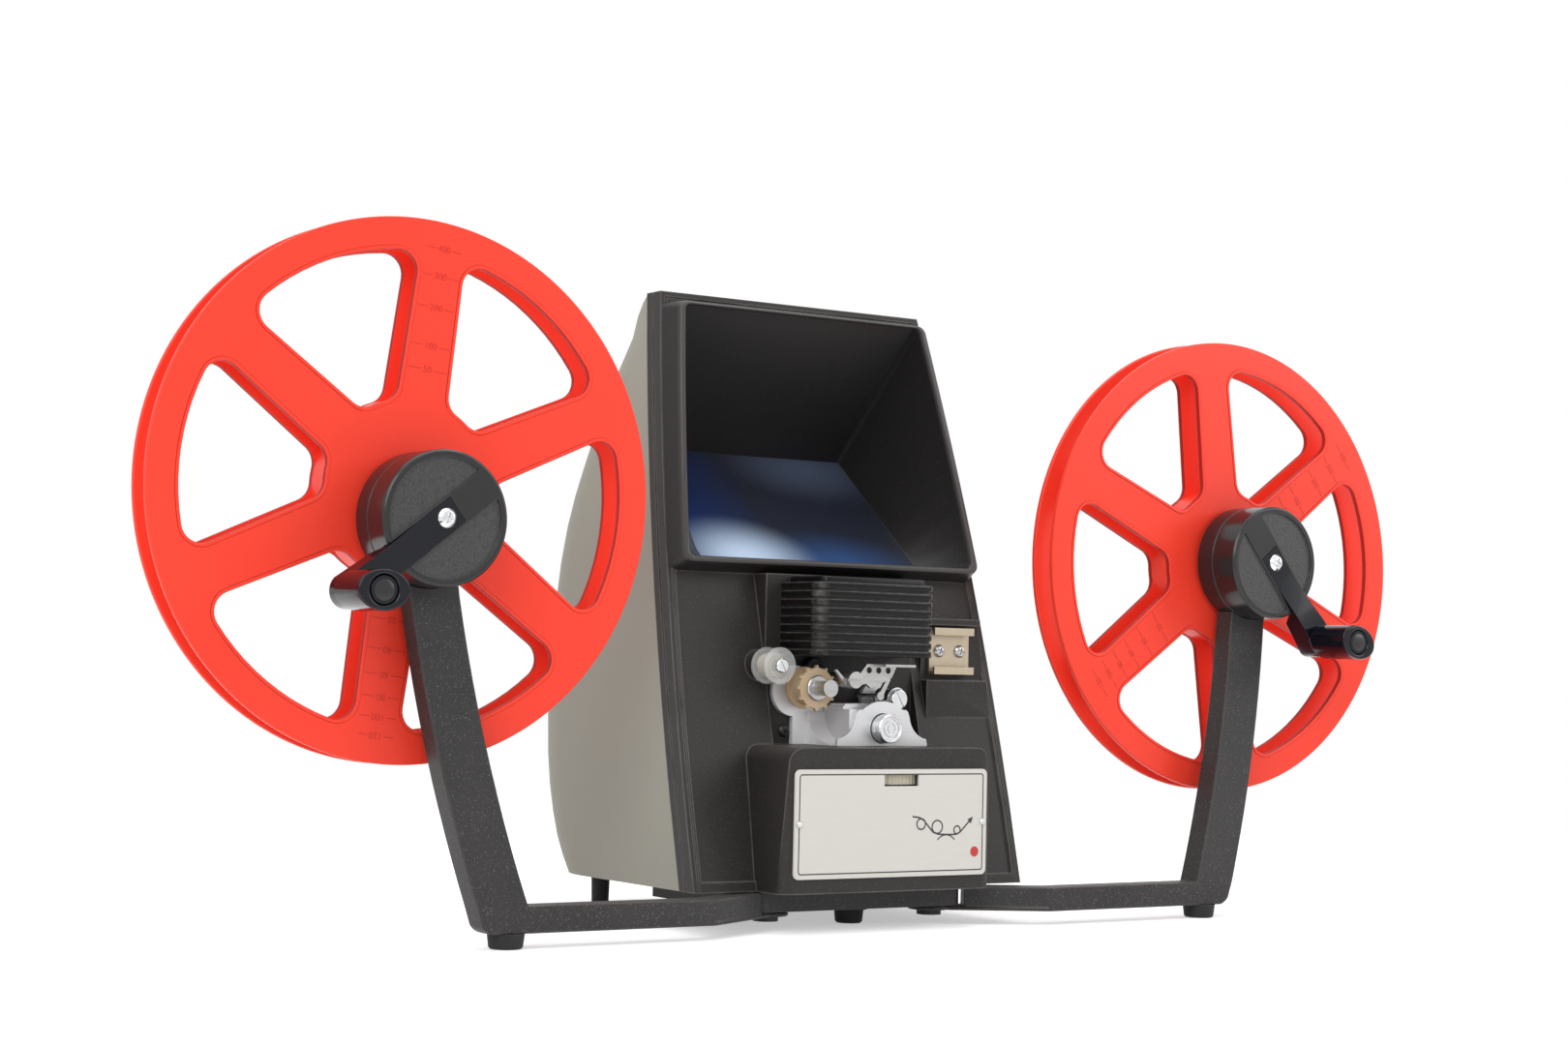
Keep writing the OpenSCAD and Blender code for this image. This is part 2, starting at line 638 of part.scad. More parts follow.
// Frame that holds the screen up against the hood's flange
module screen_frame() color(black) {
    difference() {
        wedge(screen_quad(screen_half_w + flange_reach, -3, screen_long + flange_reach, 0),
            screen_quad(screen_half_w + flange_reach, -3, screen_long + flange_reach, screen_t + 1.5));
        wedge(screen_quad(screen_half_w + 2 + 0.2, -2.2, screen_long + 2.2, -over),
            screen_quad(screen_half_w + 2 + 0.2, -2.2, screen_long + 2.2, screen_t));
        wedge(screen_quad(screen_half_w, 0.5, screen_long, 0),
            screen_quad(screen_half_w, 0.5, screen_long, screen_t + 3));
    }
}

// Name plate with the focus window, left bare of any name
pin_x = plate_half_w - 1.9;
pin_z = (plate_z0 + plate_z1) / 2;
pin_r = 1.3;
module name_plate() color([0.85, 0.84, 0.81]) {
    difference() {
        along_y(block_face_y - plate_t, block_face_y) polygon(round_rect(-plate_half_w, plate_z0,
            plate_half_w, plate_z1, 2));
        block([lens_x - window_w / 2, -far, window_z0],
            [lens_x + window_w / 2, far, window_z0 + window_h]);
    }
}
module plate_pins() color(bright_steel) for (side = [-1, 1])
    turned(side * pin_x, pin_z, block_face_y - plate_t)
        polygon(concat([[0, 0]], arc([0, -0.25], pin_r, 12, 90, 6)));

// Focus wheel: a knurled disc whose rim shows in the window
module focus_wheel() color([0.72, 0.70, 0.62]) {
    knurls = 90;
    translate([lens_x, lens_y, wheel_z]) difference() {
        union() {
            linear_extrude(focus_t) polygon([for (i = [0 : knurls * 2 - 1])
                let (r = focus_r - (i % 2) * 0.45, a = i * 180 / knurls) [r * cos(a), r * sin(a)]]);
            cylinder(h = focus_t + 1.6, r = sleeve_r + 2.6);
        }
        translate([0, 0, -over]) cylinder(h = 20, r = sleeve_r + shaft_fit);
    }
}

// Lens sleeve under the shelf, which guides the barrel and carries the focus wheel
module lens_sleeve() color(black) {
    sleeve_top = block_z1 - wall;
    translate([lens_x, lens_y, 0]) difference() {
        union() {
            translate([0, 0, barrel_z0 + 1]) cylinder(h = sleeve_top - barrel_z0 - 1, r = sleeve_r);
            translate([0, 0, sleeve_top - 2]) cylinder(h = 2, r = sleeve_r + 5);
            translate([0, 0, wheel_z - 1.6 - run_gap]) cylinder(h = 1.6, r = sleeve_r + 2);
        }
        translate([0, 0, barrel_z0]) cylinder(h = far, r = barrel_r + shaft_fit);
    }
}

// Lens barrel with its two lenses
module lens_barrel() color(black) {
    translate([lens_x, lens_y, barrel_z0]) difference() {
        cylinder(h = barrel_h, r = barrel_r);
        translate([0, 0, -over]) cylinder(h = 4 + over, r = barrel_r - 1.5);
        translate([0, 0, barrel_h - 3]) cylinder(h = 4, r = barrel_r - 1.5);
    }
}

// Bracket that holds both mirrors on the base plate
lower_mirror_z = 31;
lower_mirror_half = 13;
lower_mirror_tilt = 49;
rear_mirror_y = 122;
rear_mirror_z = 47;
rear_mirror_tilt = 61.7;
rear_mirror_w = 35;
rear_mirror_half = 27;
module at_lower_mirror() translate([lens_x, lens_y + 1, lower_mirror_z])
    rotate([-lower_mirror_tilt + 8, 0, 0]) children();
module at_rear_mirror() translate([0, rear_mirror_y, rear_mirror_z])
    rotate([rear_mirror_tilt, 0, 0]) children();
module lower_mirror() color(bright_steel) at_lower_mirror()
    translate([-lower_mirror_half, -lower_mirror_half, -mirror_t])
        cube([2 * lower_mirror_half, 2 * lower_mirror_half, mirror_t]);
module rear_mirror() color(bright_steel) at_rear_mirror()
    translate([-rear_mirror_w, -rear_mirror_half, -mirror_t])
        cube([2 * rear_mirror_w, 2 * rear_mirror_half, mirror_t]);
bracket_half_w = 24;
bracket_y0 = 12;
bracket_y1 = rear_mirror_y - 8;
bracket_t = 1.6;
// A strut pair's place either side of the middle, start along the mirror, length and drop
lower_struts = [10, -11, 22, 30];
rear_struts = [22, -38, 62, 40];
module struts(s, t) for (side = [-1, 1]) translate([side * s[0] - 1, s[1], -s[3]])
    cube([2, s[2], s[3] - t]);
module optics_bracket() color(aluminium) {
    floor_z = housing_z0 + base_t;
    difference() {
        union() {
            block([-bracket_half_w, bracket_y0, floor_z], [bracket_half_w, bracket_y1, floor_z + bracket_t]);
            intersection() {
                union() {
                    at_lower_mirror() struts(lower_struts, mirror_t);
                    at_rear_mirror() struts(rear_struts, mirror_t);
                }
                along_x(-far, far) polygon([[bracket_y0, floor_z], [bracket_y1, floor_z],
                    [rear_mirror_y + 10, rear_mirror_z], [rear_mirror_y + 10, far], [bracket_y0, far]]);
            }
        }
        at_rear_mirror() translate([-40, -40, -mirror_t]) cube([80, 80, 60]);
    }
}

// Lamp house: a finned casting over the gate, open below for the light
function lamp_outline(t) = round_rect(lamp_x0 + t, lamp_y0 + t, lamp_x1 - t, pad_y + lamp_r,
    lamp_r - t, 8);
module lamp_house() color([0.13, 0.13, 0.14]) {
    fin_t = fin_pitch * 0.8;
    groove = 0.8;
    intersection() {
        difference() {
            union() {
                along_z(lamp_z0, lamp_z1) polygon(lamp_outline(groove));
                for (i = [0 : fin_count - 1])
                    along_z(lamp_z0 + i * fin_pitch, lamp_z0 + i * fin_pitch + fin_t)
                        polygon(lamp_outline(0));
                along_z(lamp_z1 - fin_pitch + fin_t, lamp_z1 + 1.6) polygon(round_rect(lamp_x0 + 4,
                    lamp_y0 + 2.2, lamp_x1 - 3, pad_y + lamp_r, 3, 8));
            }
            translate([lens_x, lens_y, lamp_z0 - over])
                cylinder(h = lamp_z1 - lamp_z0 - 2, r = lamp_bore_r);
        }
        block([-far, -far, 0], [far, pad_y, far]);
    }
}

// Lamp: a small bulb with its base up in the socket
lamp_tip_z = lamp_z0 + 5;
module lamp_bulb() color([0.95, 0.95, 0.9]) translate([lens_x, lens_y, lamp_tip_z])
    rotate_extrude() polygon(concat([[0, 0]], arc([0, 5.2], 5.2, -60, 50, 10),
        [[3.4, 10], [3.4, 14], [0, 14]]));

// Lamp socket fixed in the top of the lamp house
module lamp_socket() color(brass) translate([lens_x, lens_y, 0]) {
    top = lamp_z1 - 3;
    translate([0, 0, lamp_tip_z + 14]) cylinder(h = top - lamp_tip_z - 14, r = 6);
    difference() {
        translate([0, 0, lamp_tip_z + 11]) cylinder(h = 3, r = 5);
        translate([0, 0, lamp_tip_z + 10]) cylinder(h = 5, r = 3.4);
    }
}

// Film plate: pressed aluminium behind the sprocket and the gate
film_plate_t = 2;
module film_plate() color(aluminium) {
    x0 = sprocket_x - 1.2;
    sweep_y = 14;
    sweep_z = 76.5;
    difference() {
        union() {
            along_y(pad_y - film_plate_t, pad_y) polygon([[x0, block_z1], [exit_x + 12, block_z1],
                [exit_x + 12, gate_z - 4], [exit_x + 6, gate_z], [sprocket_x + 7, gate_z],
                [x0, sprocket_z - 4]]);
            rod(sprocket_x - 0.8, sprocket_z - 1.2, pad_y - film_plate_t, pad_y, sprocket_r + 1.9);
            rod(exit_x, exit_z, pad_y - film_plate_t, pad_y, exit_r + 2);
            // Sweep that turns forwards beside the gate block and lies on the shelf
            along_x(sprocket_x + 4.6, lens_x - gate_half) polygon(concat([[pad_y - film_plate_t, sweep_z],
                [pad_y - film_plate_t, block_z1], [sweep_y, block_z1]],
                [for (a = [0 : 10 : 90]) [sweep_y + (pad_y - 3.4 - sweep_y) * sin(a),
                    sweep_z - (sweep_z - block_z1 - 0.6) * cos(a)]]));
        }
        rod(sprocket_x, sprocket_z, 0, far, film_shaft_r + 0.5);
        rod(lens_x, prism_z, 0, far, prism_shaft_r + 0.5);
    }
}

// Gate block: houses the turning prism and carries the film track
gate_half = 10.6;
module gate_block() color(aluminium) {
    y1 = pad_y - film_plate_t;
    track_z = gate_z - 1.2;
    rail_y = film_half_gap + 0.6;
    prism_y0 = pocket_floor_y + 1.6;
    difference() {
        union() {
            block([lens_x - gate_half, gate_front_y, block_z1], [lens_x + gate_half, y1, track_z]);
            // Film track with raised edge rails
            block([sprocket_x + 11, film_y - rail_y - 0.8, track_z],
                [exit_x - 6.2, film_y + rail_y + 0.8, gate_z]);
            for (s = [-1, 1]) block([sprocket_x + 12, film_y + s * rail_y - 0.5, gate_z],
                [exit_x - 7, film_y + s * rail_y + 0.5, gate_z + 0.8]);
        }
        rod(lens_x, prism_z, prism_y0, y1 - 1.6, prism_bore_r);
        rod(lens_x, prism_z, y1 - 2, y1 + over, prism_shaft_r + 0.5);
        difference() {
            rod(button_x, button_z, gate_front_y - over, pocket_floor_y, button_r + run_gap);
            rod(button_x, button_z, gate_front_y - over, pocket_floor_y, button_stud_r);
        }
        block([lens_x - 2.6, lens_y - 2.2, block_z1 - over], [lens_x + 2.6, lens_y + 2.2, gate_z + over]);
    }
    // Stud that the frame-marking button slides on
    rod(button_x, button_z, button_face_y + button_cap + button_travel + run_gap,
        pocket_floor_y + 0.5, button_stud_r);
}

// Gate bracket: the bell-shaped front plate
bell_half = 20;
bell_t = 1.5;
module gate_bracket() color(aluminium) {
    flank_r = 9;
    crown_r = 14.4;
    crown_z = block_z1 + 1.7;
    shoulder_z = block_z1 + 13;
    half = concat(arc([bell_half + 0.9, block_z1 + flank_r + 2.4], flank_r, 262, 187, 8),
        [[bell_half - 8.8, shoulder_z - 0.6], [bell_half - 9.6, shoulder_z]],
        arc([0, crown_z], crown_r, 52, 90, 8));
    points = concat(half, [for (i = [len(half) - 1 : -1 : 0]) [-half[i][0], half[i][1]]]);
    difference() {
        union() {
            along_y(gate_front_y - bell_t, gate_front_y) translate([button_x, 0])
                polygon(concat([[bell_half, block_z1]], points, [[-bell_half, block_z1]]));
            // Foot turned back on the shelf beside the gate block
            block([lens_x + gate_half, gate_front_y - bell_t, block_z1],
                [button_x + bell_half, gate_front_y + 5, block_z1 + 1]);
        }
        rod(button_x, button_z, 0, far, button_r + run_gap);
    }
}

// Frame-marking button: a cap that slides on its stud
module notch_button() color(bright_steel) {
    back_y = gate_front_y - 0.4;
    difference() {
        turned(button_x, button_z, back_y) polygon([[0, 0], [button_r, 0],
            [button_r, back_y - button_face_y - 0.5], [button_r - 0.5, back_y - button_face_y],
            [button_r - 1.3, back_y - button_face_y], [button_r - 1.6, back_y - button_face_y - 0.5],
            [0, back_y - button_face_y - 0.5]]);
        rod(button_x, button_z, button_face_y + button_cap, back_y + over, button_stud_r + shaft_fit);
    }
}

// Pressure lever: a bent strip with three holes that holds the film down
module pressure_lever() color(bright_steel) {
    y1 = lever_y + lever_t;
    toe = [12.6, -5.6];
    difference() {
        union() {
            rod(lever_x, lever_z, lever_y - 0.6, y1 + 4, lever_pin_r + 1.2);
            // Thin tail, holed plate and the arm below it
            along_y(lever_y, y1) translate([lever_x, lever_z]) polygon([[-7.4, 3.4], [-6.9, 3.7],
                [-3.2, 0.4], [2.9, 1.8], [6.4, 5.8], [19.7, 5.5], [17.4, 1.1], [13.5, -0.8],
                [8, -2.8], [6, -1.2], [2, -2.4], [-2, -2.4], [-4.4, -0.2]]);
            // Finger tab, bent forwards along the top
            block([lever_x + 9.9, lever_y - 6.5, lever_z + 4.9], [lever_x + 23.3, y1, lever_z + 5.8]);
            // Toe with the pin that rests over the film
            along_y(lever_y, y1) translate([lever_x, lever_z]) {
                polygon([[15.4, 0.8], [16.9, 0.4], toe + [1.3, 0.5], toe + [-0.3, 1.3]]);
                translate(toe) circle(1.5, $fn = 48);
            }
            rod(lever_x + toe[0], lever_z + toe[1], y1 - 0.5, film_y + film_half_gap, 0.8);
        }
        rod(lever_x, lever_z, 0, far, lever_pin_r + shaft_fit);
        for (i = [0 : 2]) rod(lever_x + 7.3 + i * 4.2, lever_z + 3.6, 0, far, 1.15);
    }
}

// Pin that the pressure lever turns on, standing out of the film pad
module lever_pin() color(bright_steel) {
    rod(lever_x, lever_z, lever_y - 0.6 - run_gap, pad_y, lever_pin_r);
    difference() {
        rod(lever_x, lever_z, lever_y - 2.4, lever_y - 0.6 - run_gap, lever_pin_r + 1.2);
        block([lever_x - 5, lever_y - 3, lever_z - 0.3], [lever_x + 5, lever_y - 1.7, lever_z + 0.3]);
    }
    rod(lever_x, lever_z, lever_y + lever_t + 4 + run_gap, pad_y, lever_pin_r + 0.9);
}

// Guide roller: a clear flanged bobbin at the film's way in
module guide_roller() color(clear_plastic) {
    span = guide_y1 - guide_y0;
    guide_core_r = 4.6;
    difference() {
        turned(guide_x, guide_z, guide_y1) polygon([[0, 0], [guide_r, 0], [guide_r, 1.1],
            [guide_core_r, 2.2], [guide_core_r, span - 2.2], [guide_r, span - 1.1],
            [guide_r, span], [0, span]]);
        rod(guide_x, guide_z, 0, far, stud_r + shaft_fit);
    }
}

// Slotted studs that the two rollers turn on
module slotted_stud(x, z, y0, y1, foot_y, head_r) {
    rod(x, z, y0 - run_gap, y1, stud_r);
    difference() {
        turned(x, z, y0 - run_gap)
            polygon([[0, 0], [head_r, 0], [head_r, 1.2], [head_r - 0.4, 1.6], [0, 1.6]]);
        translate([x, 0, z]) rotate([0, 60, 0]) translate([-5, y0 - run_gap - 2, -0.25])
            cube([10, 1.1, 0.5]);
    }
    rod(x, z, y1, foot_y, stud_r + 1);
}
module roller_studs() color(bright_steel) {
    slotted_stud(guide_x, guide_z, guide_y0, guide_y1 + run_gap, guide_y1 + 1, stud_r + 0.5);
    slotted_stud(exit_x, exit_z, film_y - roller_half, film_y + roller_half + run_gap,
        pad_y - film_plate_t, stud_r + 1.6);
}

// Sprocket: a toothed disc in front and a plain flange behind, the film's width apart
module toothed_disc(y0) {
    along_y(y0, y0 + disc_t) translate([sprocket_x, sprocket_z]) polygon([for (i = [0 : sprocket_teeth - 1])
        for (p = [[-11, 0], [-5, 0], [-2.2, tooth_h], [2.2, tooth_h], [5, 0], [11, 0]])
        let (a = 360 * i / sprocket_teeth + p[0] * 12 / sprocket_teeth, r = sprocket_r + p[1])
        [r * cos(a), r * sin(a)]]);
}
module sprocket() color(amber_plastic) {
    y0 = film_y - film_half_gap - disc_t / 2;
    y1 = film_y + film_half_gap + disc_t / 2;
    difference() {
        union() {
            toothed_disc(y0);
            rod(sprocket_x, sprocket_z, y1 - disc_t, y1, sprocket_r + 0.3);
            rod(sprocket_x, sprocket_z, y0, y1, sprocket_r - 1.4);
        }
        rod(sprocket_x, sprocket_z, 0, far, film_shaft_r);
    }
}

// Sprocket shaft with its end knob in front and its gear behind the pad
module sprocket_shaft() color(bright_steel) {
    y0 = film_y - film_half_gap - disc_t / 2;
    collar_r = 4.6;
    neck_r = 2.7;
    neck_l = 8.2;
    rod(sprocket_x, sprocket_z, y0 - 1, gear_front_y + gear_t, film_shaft_r);
    // Collar, neck and end cap in front of the sprocket
    turned(sprocket_x, sprocket_z, y0) polygon([[0, 0], [collar_r, 0], [collar_r, 0.7],
        [collar_r - 0.4, 1.1], [neck_r, 1.1], [neck_r, neck_l], [neck_r + 0.4, neck_l],
        [neck_r + 0.4, neck_l + 0.5], [0, neck_l + 0.5]]);
    along_y(gear_front_y, gear_front_y + gear_t) translate([sprocket_x, sprocket_z])
        polygon(gear_points(sprocket_gear_teeth, prism_direction));
}

// Turning prism under the gate, one quarter turn for each picture
prism_y0 = pocket_floor_y + 2;
prism_y1 = pad_y - film_plate_t - 2.4;
module prism() color([0.8, 0.9, 0.95])
    block([lens_x - prism_side / 2, prism_y0, prism_z - prism_side / 2],
        [lens_x + prism_side / 2, prism_y1, prism_z + prism_side / 2]);

// Prism shaft with the small gear
module prism_shaft() color(brass) {
    rod(lens_x, prism_z, prism_y1, gear_front_y + gear_t, prism_shaft_r);
    along_y(gear_front_y, gear_front_y + gear_t) translate([lens_x, prism_z])
        polygon(gear_points(prism_gear_teeth, prism_direction + 180 + 180 / prism_gear_teeth));
}

// Exit roller: a metal bobbin at the film's way out
module exit_roller() color(bright_steel) {
    y0 = film_y - roller_half;
    y1 = film_y + roller_half;
    difference() {
        turned(exit_x, exit_z, y1) polygon([[0, 0], [exit_r, 0], [exit_r, 1.2], [exit_r - 0.8, 2],
            [exit_r - 0.8, y1 - y0 - 2], [exit_r, y1 - y0 - 1.2], [exit_r, y1 - y0], [0, y1 - y0]]);
        rod(exit_x, exit_z, 0, far, stud_r + shaft_fit);
    }
}

// Splice holder: a folded channel with turned-in lips
module splice_holder() color(zinc) {
    y1 = holder_pad_y + holder_pocket;
    t = 1.2;
    lip = 1.6;
    z0 = holder_z0;
    z1 = holder_z0 + holder_h;
    y0 = y1 - 4.6;
    difference() {
        along_x(holder_x0, holder_x0 + holder_w) polygon([[y1, z0], [y1, z1], [y0, z1],
            [y0, z1 - t - lip], [y0 + t, z1 - t - lip], [y0 + t, z1 - t], [y1 - t, z1 - t],
            [y1 - t, z0 + t], [y0 + t, z0 + t], [y0 + t, z0 + t + lip], [y0, z0 + t + lip], [y0, z0]]);
        for (x = holder_screw_x) rod(x, holder_screw_z, 0, far, 1.5);
    }
}
holder_screw_x = [holder_x0 + holder_w / 2 - 4.8, holder_x0 + holder_w / 2 + 4.8];
holder_screw_z = holder_z0 + holder_h / 2;

// Cross-slotted screws
module cross_screw(x, z, y, head_r, shank_r, shank_l) {
    head = head_r * 0.55;
    rod(x, z, y - 0.1, y + shank_l, shank_r);
    difference() {
        turned(x, z, y) polygon([[0, 0], [head_r, 0], [head_r, head * 0.3], [head_r * 0.7, head * 0.85],
            [0, head]]);
        for (a = [0, 90]) translate([x, y - head, z]) rotate([0, a + 20, 0])
            translate([-head_r * 0.55, -over, -head_r * 0.1])
                cube([head_r * 1.1, over + head * 0.6, head_r * 0.2]);
    }
}
module holder_screws() color(bright_steel) for (x = holder_screw_x)
    cross_screw(x, holder_screw_z, holder_pad_y + holder_pocket - 1.2, 2.4, 1.4, 1.2);
module case_screws() color(black) {
    cross_screw(pad_x0 + 8.8, block_z1 + 4.7, pad_y, 2.3, 1.2, 0.6);
}

// Cord gland in the cover's back, seated where the cover is fullest
gland_x = 30;
gland_z = 72;
gland_r = 5;
gland_seat = 1.4;
gland_reach = 38.6;
module cord_gland() color(black) {
    seat_y = cover_back_y - gland_seat;
    difference() {
        union() {
            rod(gland_x, gland_z, seat_y - 6, seat_y, gland_r);
            turned(gland_x, gland_z, seat_y) polygon([[0, 0], [gland_r + 2, 0],
                [gland_r + 2, -gland_seat], [gland_r + 1.2, -gland_seat - 0.6], [0, -gland_seat - 0.6]]);
        }
        rod(gland_x, gland_z, cover_back_y - 1, far, gland_r - 1.5);
    }
}

// Arm, drawn for the right side: bar, bend, tongue and curved upright
upright_x = axis_x - sqrt((upright_r + upright_w / 2) ^ 2 - (190 - axis_z) ^ 2);
top_y = seam_y;
bend_angle = atan2(pivot_y, bend_x - pivot_x);
bar_half = bar_depth / 2;
tongue_l = norm([bend_x - pivot_x, pivot_y]);
// A point of the bar's turned end, t along it from the bend and s to its front side
function past_bend(t, s) = [bend_x - t * cos(bend_angle) - s * sin(bend_angle),
    t * sin(bend_angle) - s * cos(bend_angle)];
module bar_plan(reach) {
    mitre = bar_half * tan(bend_angle / 2);
    polygon([[foot_x, -bar_half], [foot_x, bar_half], [bend_x + mitre, bar_half],
        past_bend(reach, -bar_half), past_bend(reach, bar_half), [bend_x - mitre, -bar_half]]);
}
module arm_shape() {
    tongue_r = 8;
    step_reach = 12.4;
    kink_z = axis_z - drum_r - 2.5;
    tongue_top = block_z0 - run_gap;
    corner_r = 6;
    corner_x = upright_x + sqrt((upright_r + upright_w) ^ 2 - (190 - bar_z0) ^ 2) - corner_r * 0.71;
    difference() {
        union() {
            // Upright between two large arcs, leaning back to the gear case
            intersection() {
                along_y(-20, 40) difference() {
                    translate([upright_x, 190]) circle(upright_r + upright_w, $fn = 720);
                    translate([upright_x, 190]) circle(upright_r, $fn = 720);
                    translate([-2 * far, -2 * far]) square([2 * far, 5 * far]);
                    translate([-2 * far, -4 * far]) square([10 * far, 4 * far + bar_z0]);
                    translate([-2 * far, axis_z]) square([10 * far, 4 * far]);
                    // Rounded outer corner at the foot
                    difference() {
                        translate([corner_x, bar_z0 - over]) square([far, over + corner_r * 0.66]);
                        translate([corner_x, bar_z0 + corner_r]) circle(corner_r + 0.15);
                    }
                }
                along_x(0, 2 * far) polygon([[-bar_half, 0], [-bar_half, bar_z1], [top_y, kink_z],
                    [top_y, axis_z + over], [case_back_y, axis_z + over], [case_back_y, kink_z],
                    [bar_half, bar_z1], [bar_half, 0]]);
            }
            along_z(bar_z0, bar_z1) bar_plan(tongue_l - step_reach);
            // Tongue under the base block
            along_z(bar_z0, tongue_top) bar_plan(tongue_l);
            translate([pivot_x, pivot_y, bar_z0]) cylinder(h = tongue_top - bar_z0, r = tongue_r);
        }
        translate([pivot_x, pivot_y, 0]) cylinder(h = far, r = pivot_r + shaft_fit);
        // The gear case fills the top of the upright
        rod(axis_x, axis_z, -far, far, drum_r);
    }
}
module arm(side) color(dark_grey) {
    if (side > 0) arm_shape();
    else mirror([1, 0, 0]) arm_shape();
}

// Arm foot: a tapered rubber stud
module arm_foot(side) color(black) translate([side * foot_x, 0, 0])
    rotate_extrude() polygon([[0, 0], [5.1, 0], [5.65, 0.6], [6.2, bar_z0], [0, bar_z0]]);

// Fixed gear case with the collar that the drum turns on
module gear_case(side) color([0.15, 0.15, 0.15]) {
    difference() {
        union() {
            rod(side * axis_x, axis_z, seam_y, case_back_y, drum_r);
            rod(side * axis_x, axis_z, seam_y - 4, seam_y + over, collar_r - shaft_fit);
        }
        rod(side * axis_x, axis_z, -far, case_back_y - 3, collar_r - 2);
        rod(spindle_x(side), spindle_z(side), 0, far, pinion_shaft_r + shaft_fit);
    }
    difference() {
        intersection() {
            rod(spindle_x(side), spindle_z(side), seam_y, case_back_y - 2, pinion_shaft_r + 2.5);
            rod(side * axis_x, axis_z, 0, case_back_y, collar_r - 1);
        }
        rod(spindle_x(side), spindle_z(side), 0, far, pinion_shaft_r + shaft_fit);
    }
}

// Crank drum: grained face, lever channel and ring gear inside
module crank_drum(side) color([0.12, 0.12, 0.12]) {
    face_rim = 2.5;
    grain_d = 0.8;
    translate([side * axis_x, 0, axis_z]) rotate([0, -crank_angle(side), 0]) difference() {
        union() {
            difference() {
                turned(0, 0, seam_y - run_gap) polygon([[0, 0], [drum_r, 0],
                    [drum_r, seam_y - run_gap - drum_face_y - 0.8],
                    [drum_r - 0.8, seam_y - run_gap - drum_face_y], [0, seam_y - run_gap - drum_face_y]]);
                rod(0, 0, ring_y1, far, collar_r);
                along_y(ring_y0, ring_y1 + over) polygon(ring_points(ring_teeth,
                    spindle_direction[at(side)] - crank_angle(side) + 180 / ring_teeth));
                // Half-moons of the face, sunk below the rim and the middle bar
                difference() {
                    rod(0, 0, drum_face_y - over, drum_face_y + grain_d, drum_r - face_rim);
                    block([-far, -far, -lever_w / 2 - 0.8], [far, far, lever_w / 2 + 0.8]);
                }
            }
        }
        // Channel for the lever
        block([-5 - run_gap / 2, drum_face_y - over, -lever_w / 2 - 0.05],
            [far, drum_face_y + channel_d, lever_w / 2 + 0.05]);
    }
}

// Crank lever: flush at the drum and thicker towards the knob, with the knob's pin
module crank_lever(side) color([0.08, 0.09, 0.12]) {
    back_y = drum_face_y + channel_d;
    end_r = lever_w / 2 + 1.2;
    translate([side * axis_x, 0, axis_z]) rotate([0, -crank_angle(side), 0]) {
        intersection() {
            along_y(knob_root_y - over, back_y + 6) difference() {
                polygon(concat([[-5, lever_w / 2], [-5, -lever_w / 2]],
                    [[drum_r + 1, -lever_w / 2]], arc([crank_r, 0], end_r, -80, 80, 12),
                    [[drum_r + 1, lever_w / 2]]));
                circle(crank_screw_r);
            }
            along_z(-20, 20) polygon([[-6, drum_face_y], [9, drum_face_y], [crank_r - 8, knob_root_y],
                [crank_r + 10, knob_root_y], [crank_r + 10, back_y + 3.4], [drum_r + 4, back_y + 3.4],
                [drum_r + 0.6, back_y], [-6, back_y]]);
        }
        rod(crank_r, 0, knob_end_y + 1.2, knob_root_y + over, knob_pin_r);
        rod(crank_r, 0, knob_end_y + 0.4, knob_end_y + 1.4, knob_pin_r + 1.9);
    }
}

// Screw in the middle of the drum that holds the lever
module crank_screw(side) color(bright_steel) translate([side * axis_x, 0, axis_z])
    cross_screw(0, 0, drum_face_y, 3.25, crank_screw_r, channel_d);

// Crank knob: an oval grip on the lever's pin
module knob(side) color([0.07, 0.07, 0.08]) {
    translate([side * axis_x, 0, axis_z]) rotate([0, -crank_angle(side), 0])
        translate([crank_r, 0, 0]) difference() {
            along_y(knob_end_y, knob_root_y - run_gap) rotate(crank_angle(side) > 270 ? 35 : -38)
                polygon([for (i = [0 : 35]) [knob_w / 2 * cos(i * 10), knob_h / 2 * sin(i * 10)]]);
            rod(0, 0, -far, far, knob_pin_r + shaft_fit);
            rod(0, 0, knob_end_y - over, knob_end_y + 1.4 + run_gap, knob_pin_r + 2.3);
        }
}

// Spindle: pinion in the ring gear, shaft through the case, and the reel's seat
module spindle(side) color(black) {
    x = spindle_x(side);
    z = spindle_z(side);
    back_y = reel_y + reel_t;
    n = pinion_teeth[at(side)];
    along_y(ring_y0 + run_gap, ring_y1 - run_gap) translate([x, z])
        polygon(gear_points(n, spindle_direction[at(side)]));
    rod(x, z, ring_y1 - over, case_back_y + run_gap, pinion_shaft_r);
    rod(x, z, case_back_y + run_gap, reel_y, spindle_r + 5);
    rod(x, z, reel_y - over, back_y, spindle_r);
    turned(x, z, back_y + 3)
        polygon([[0, 0], [spindle_r - 1.5, 0], [spindle_r, 1.2], [spindle_r, 3], [0, 3]]);
}

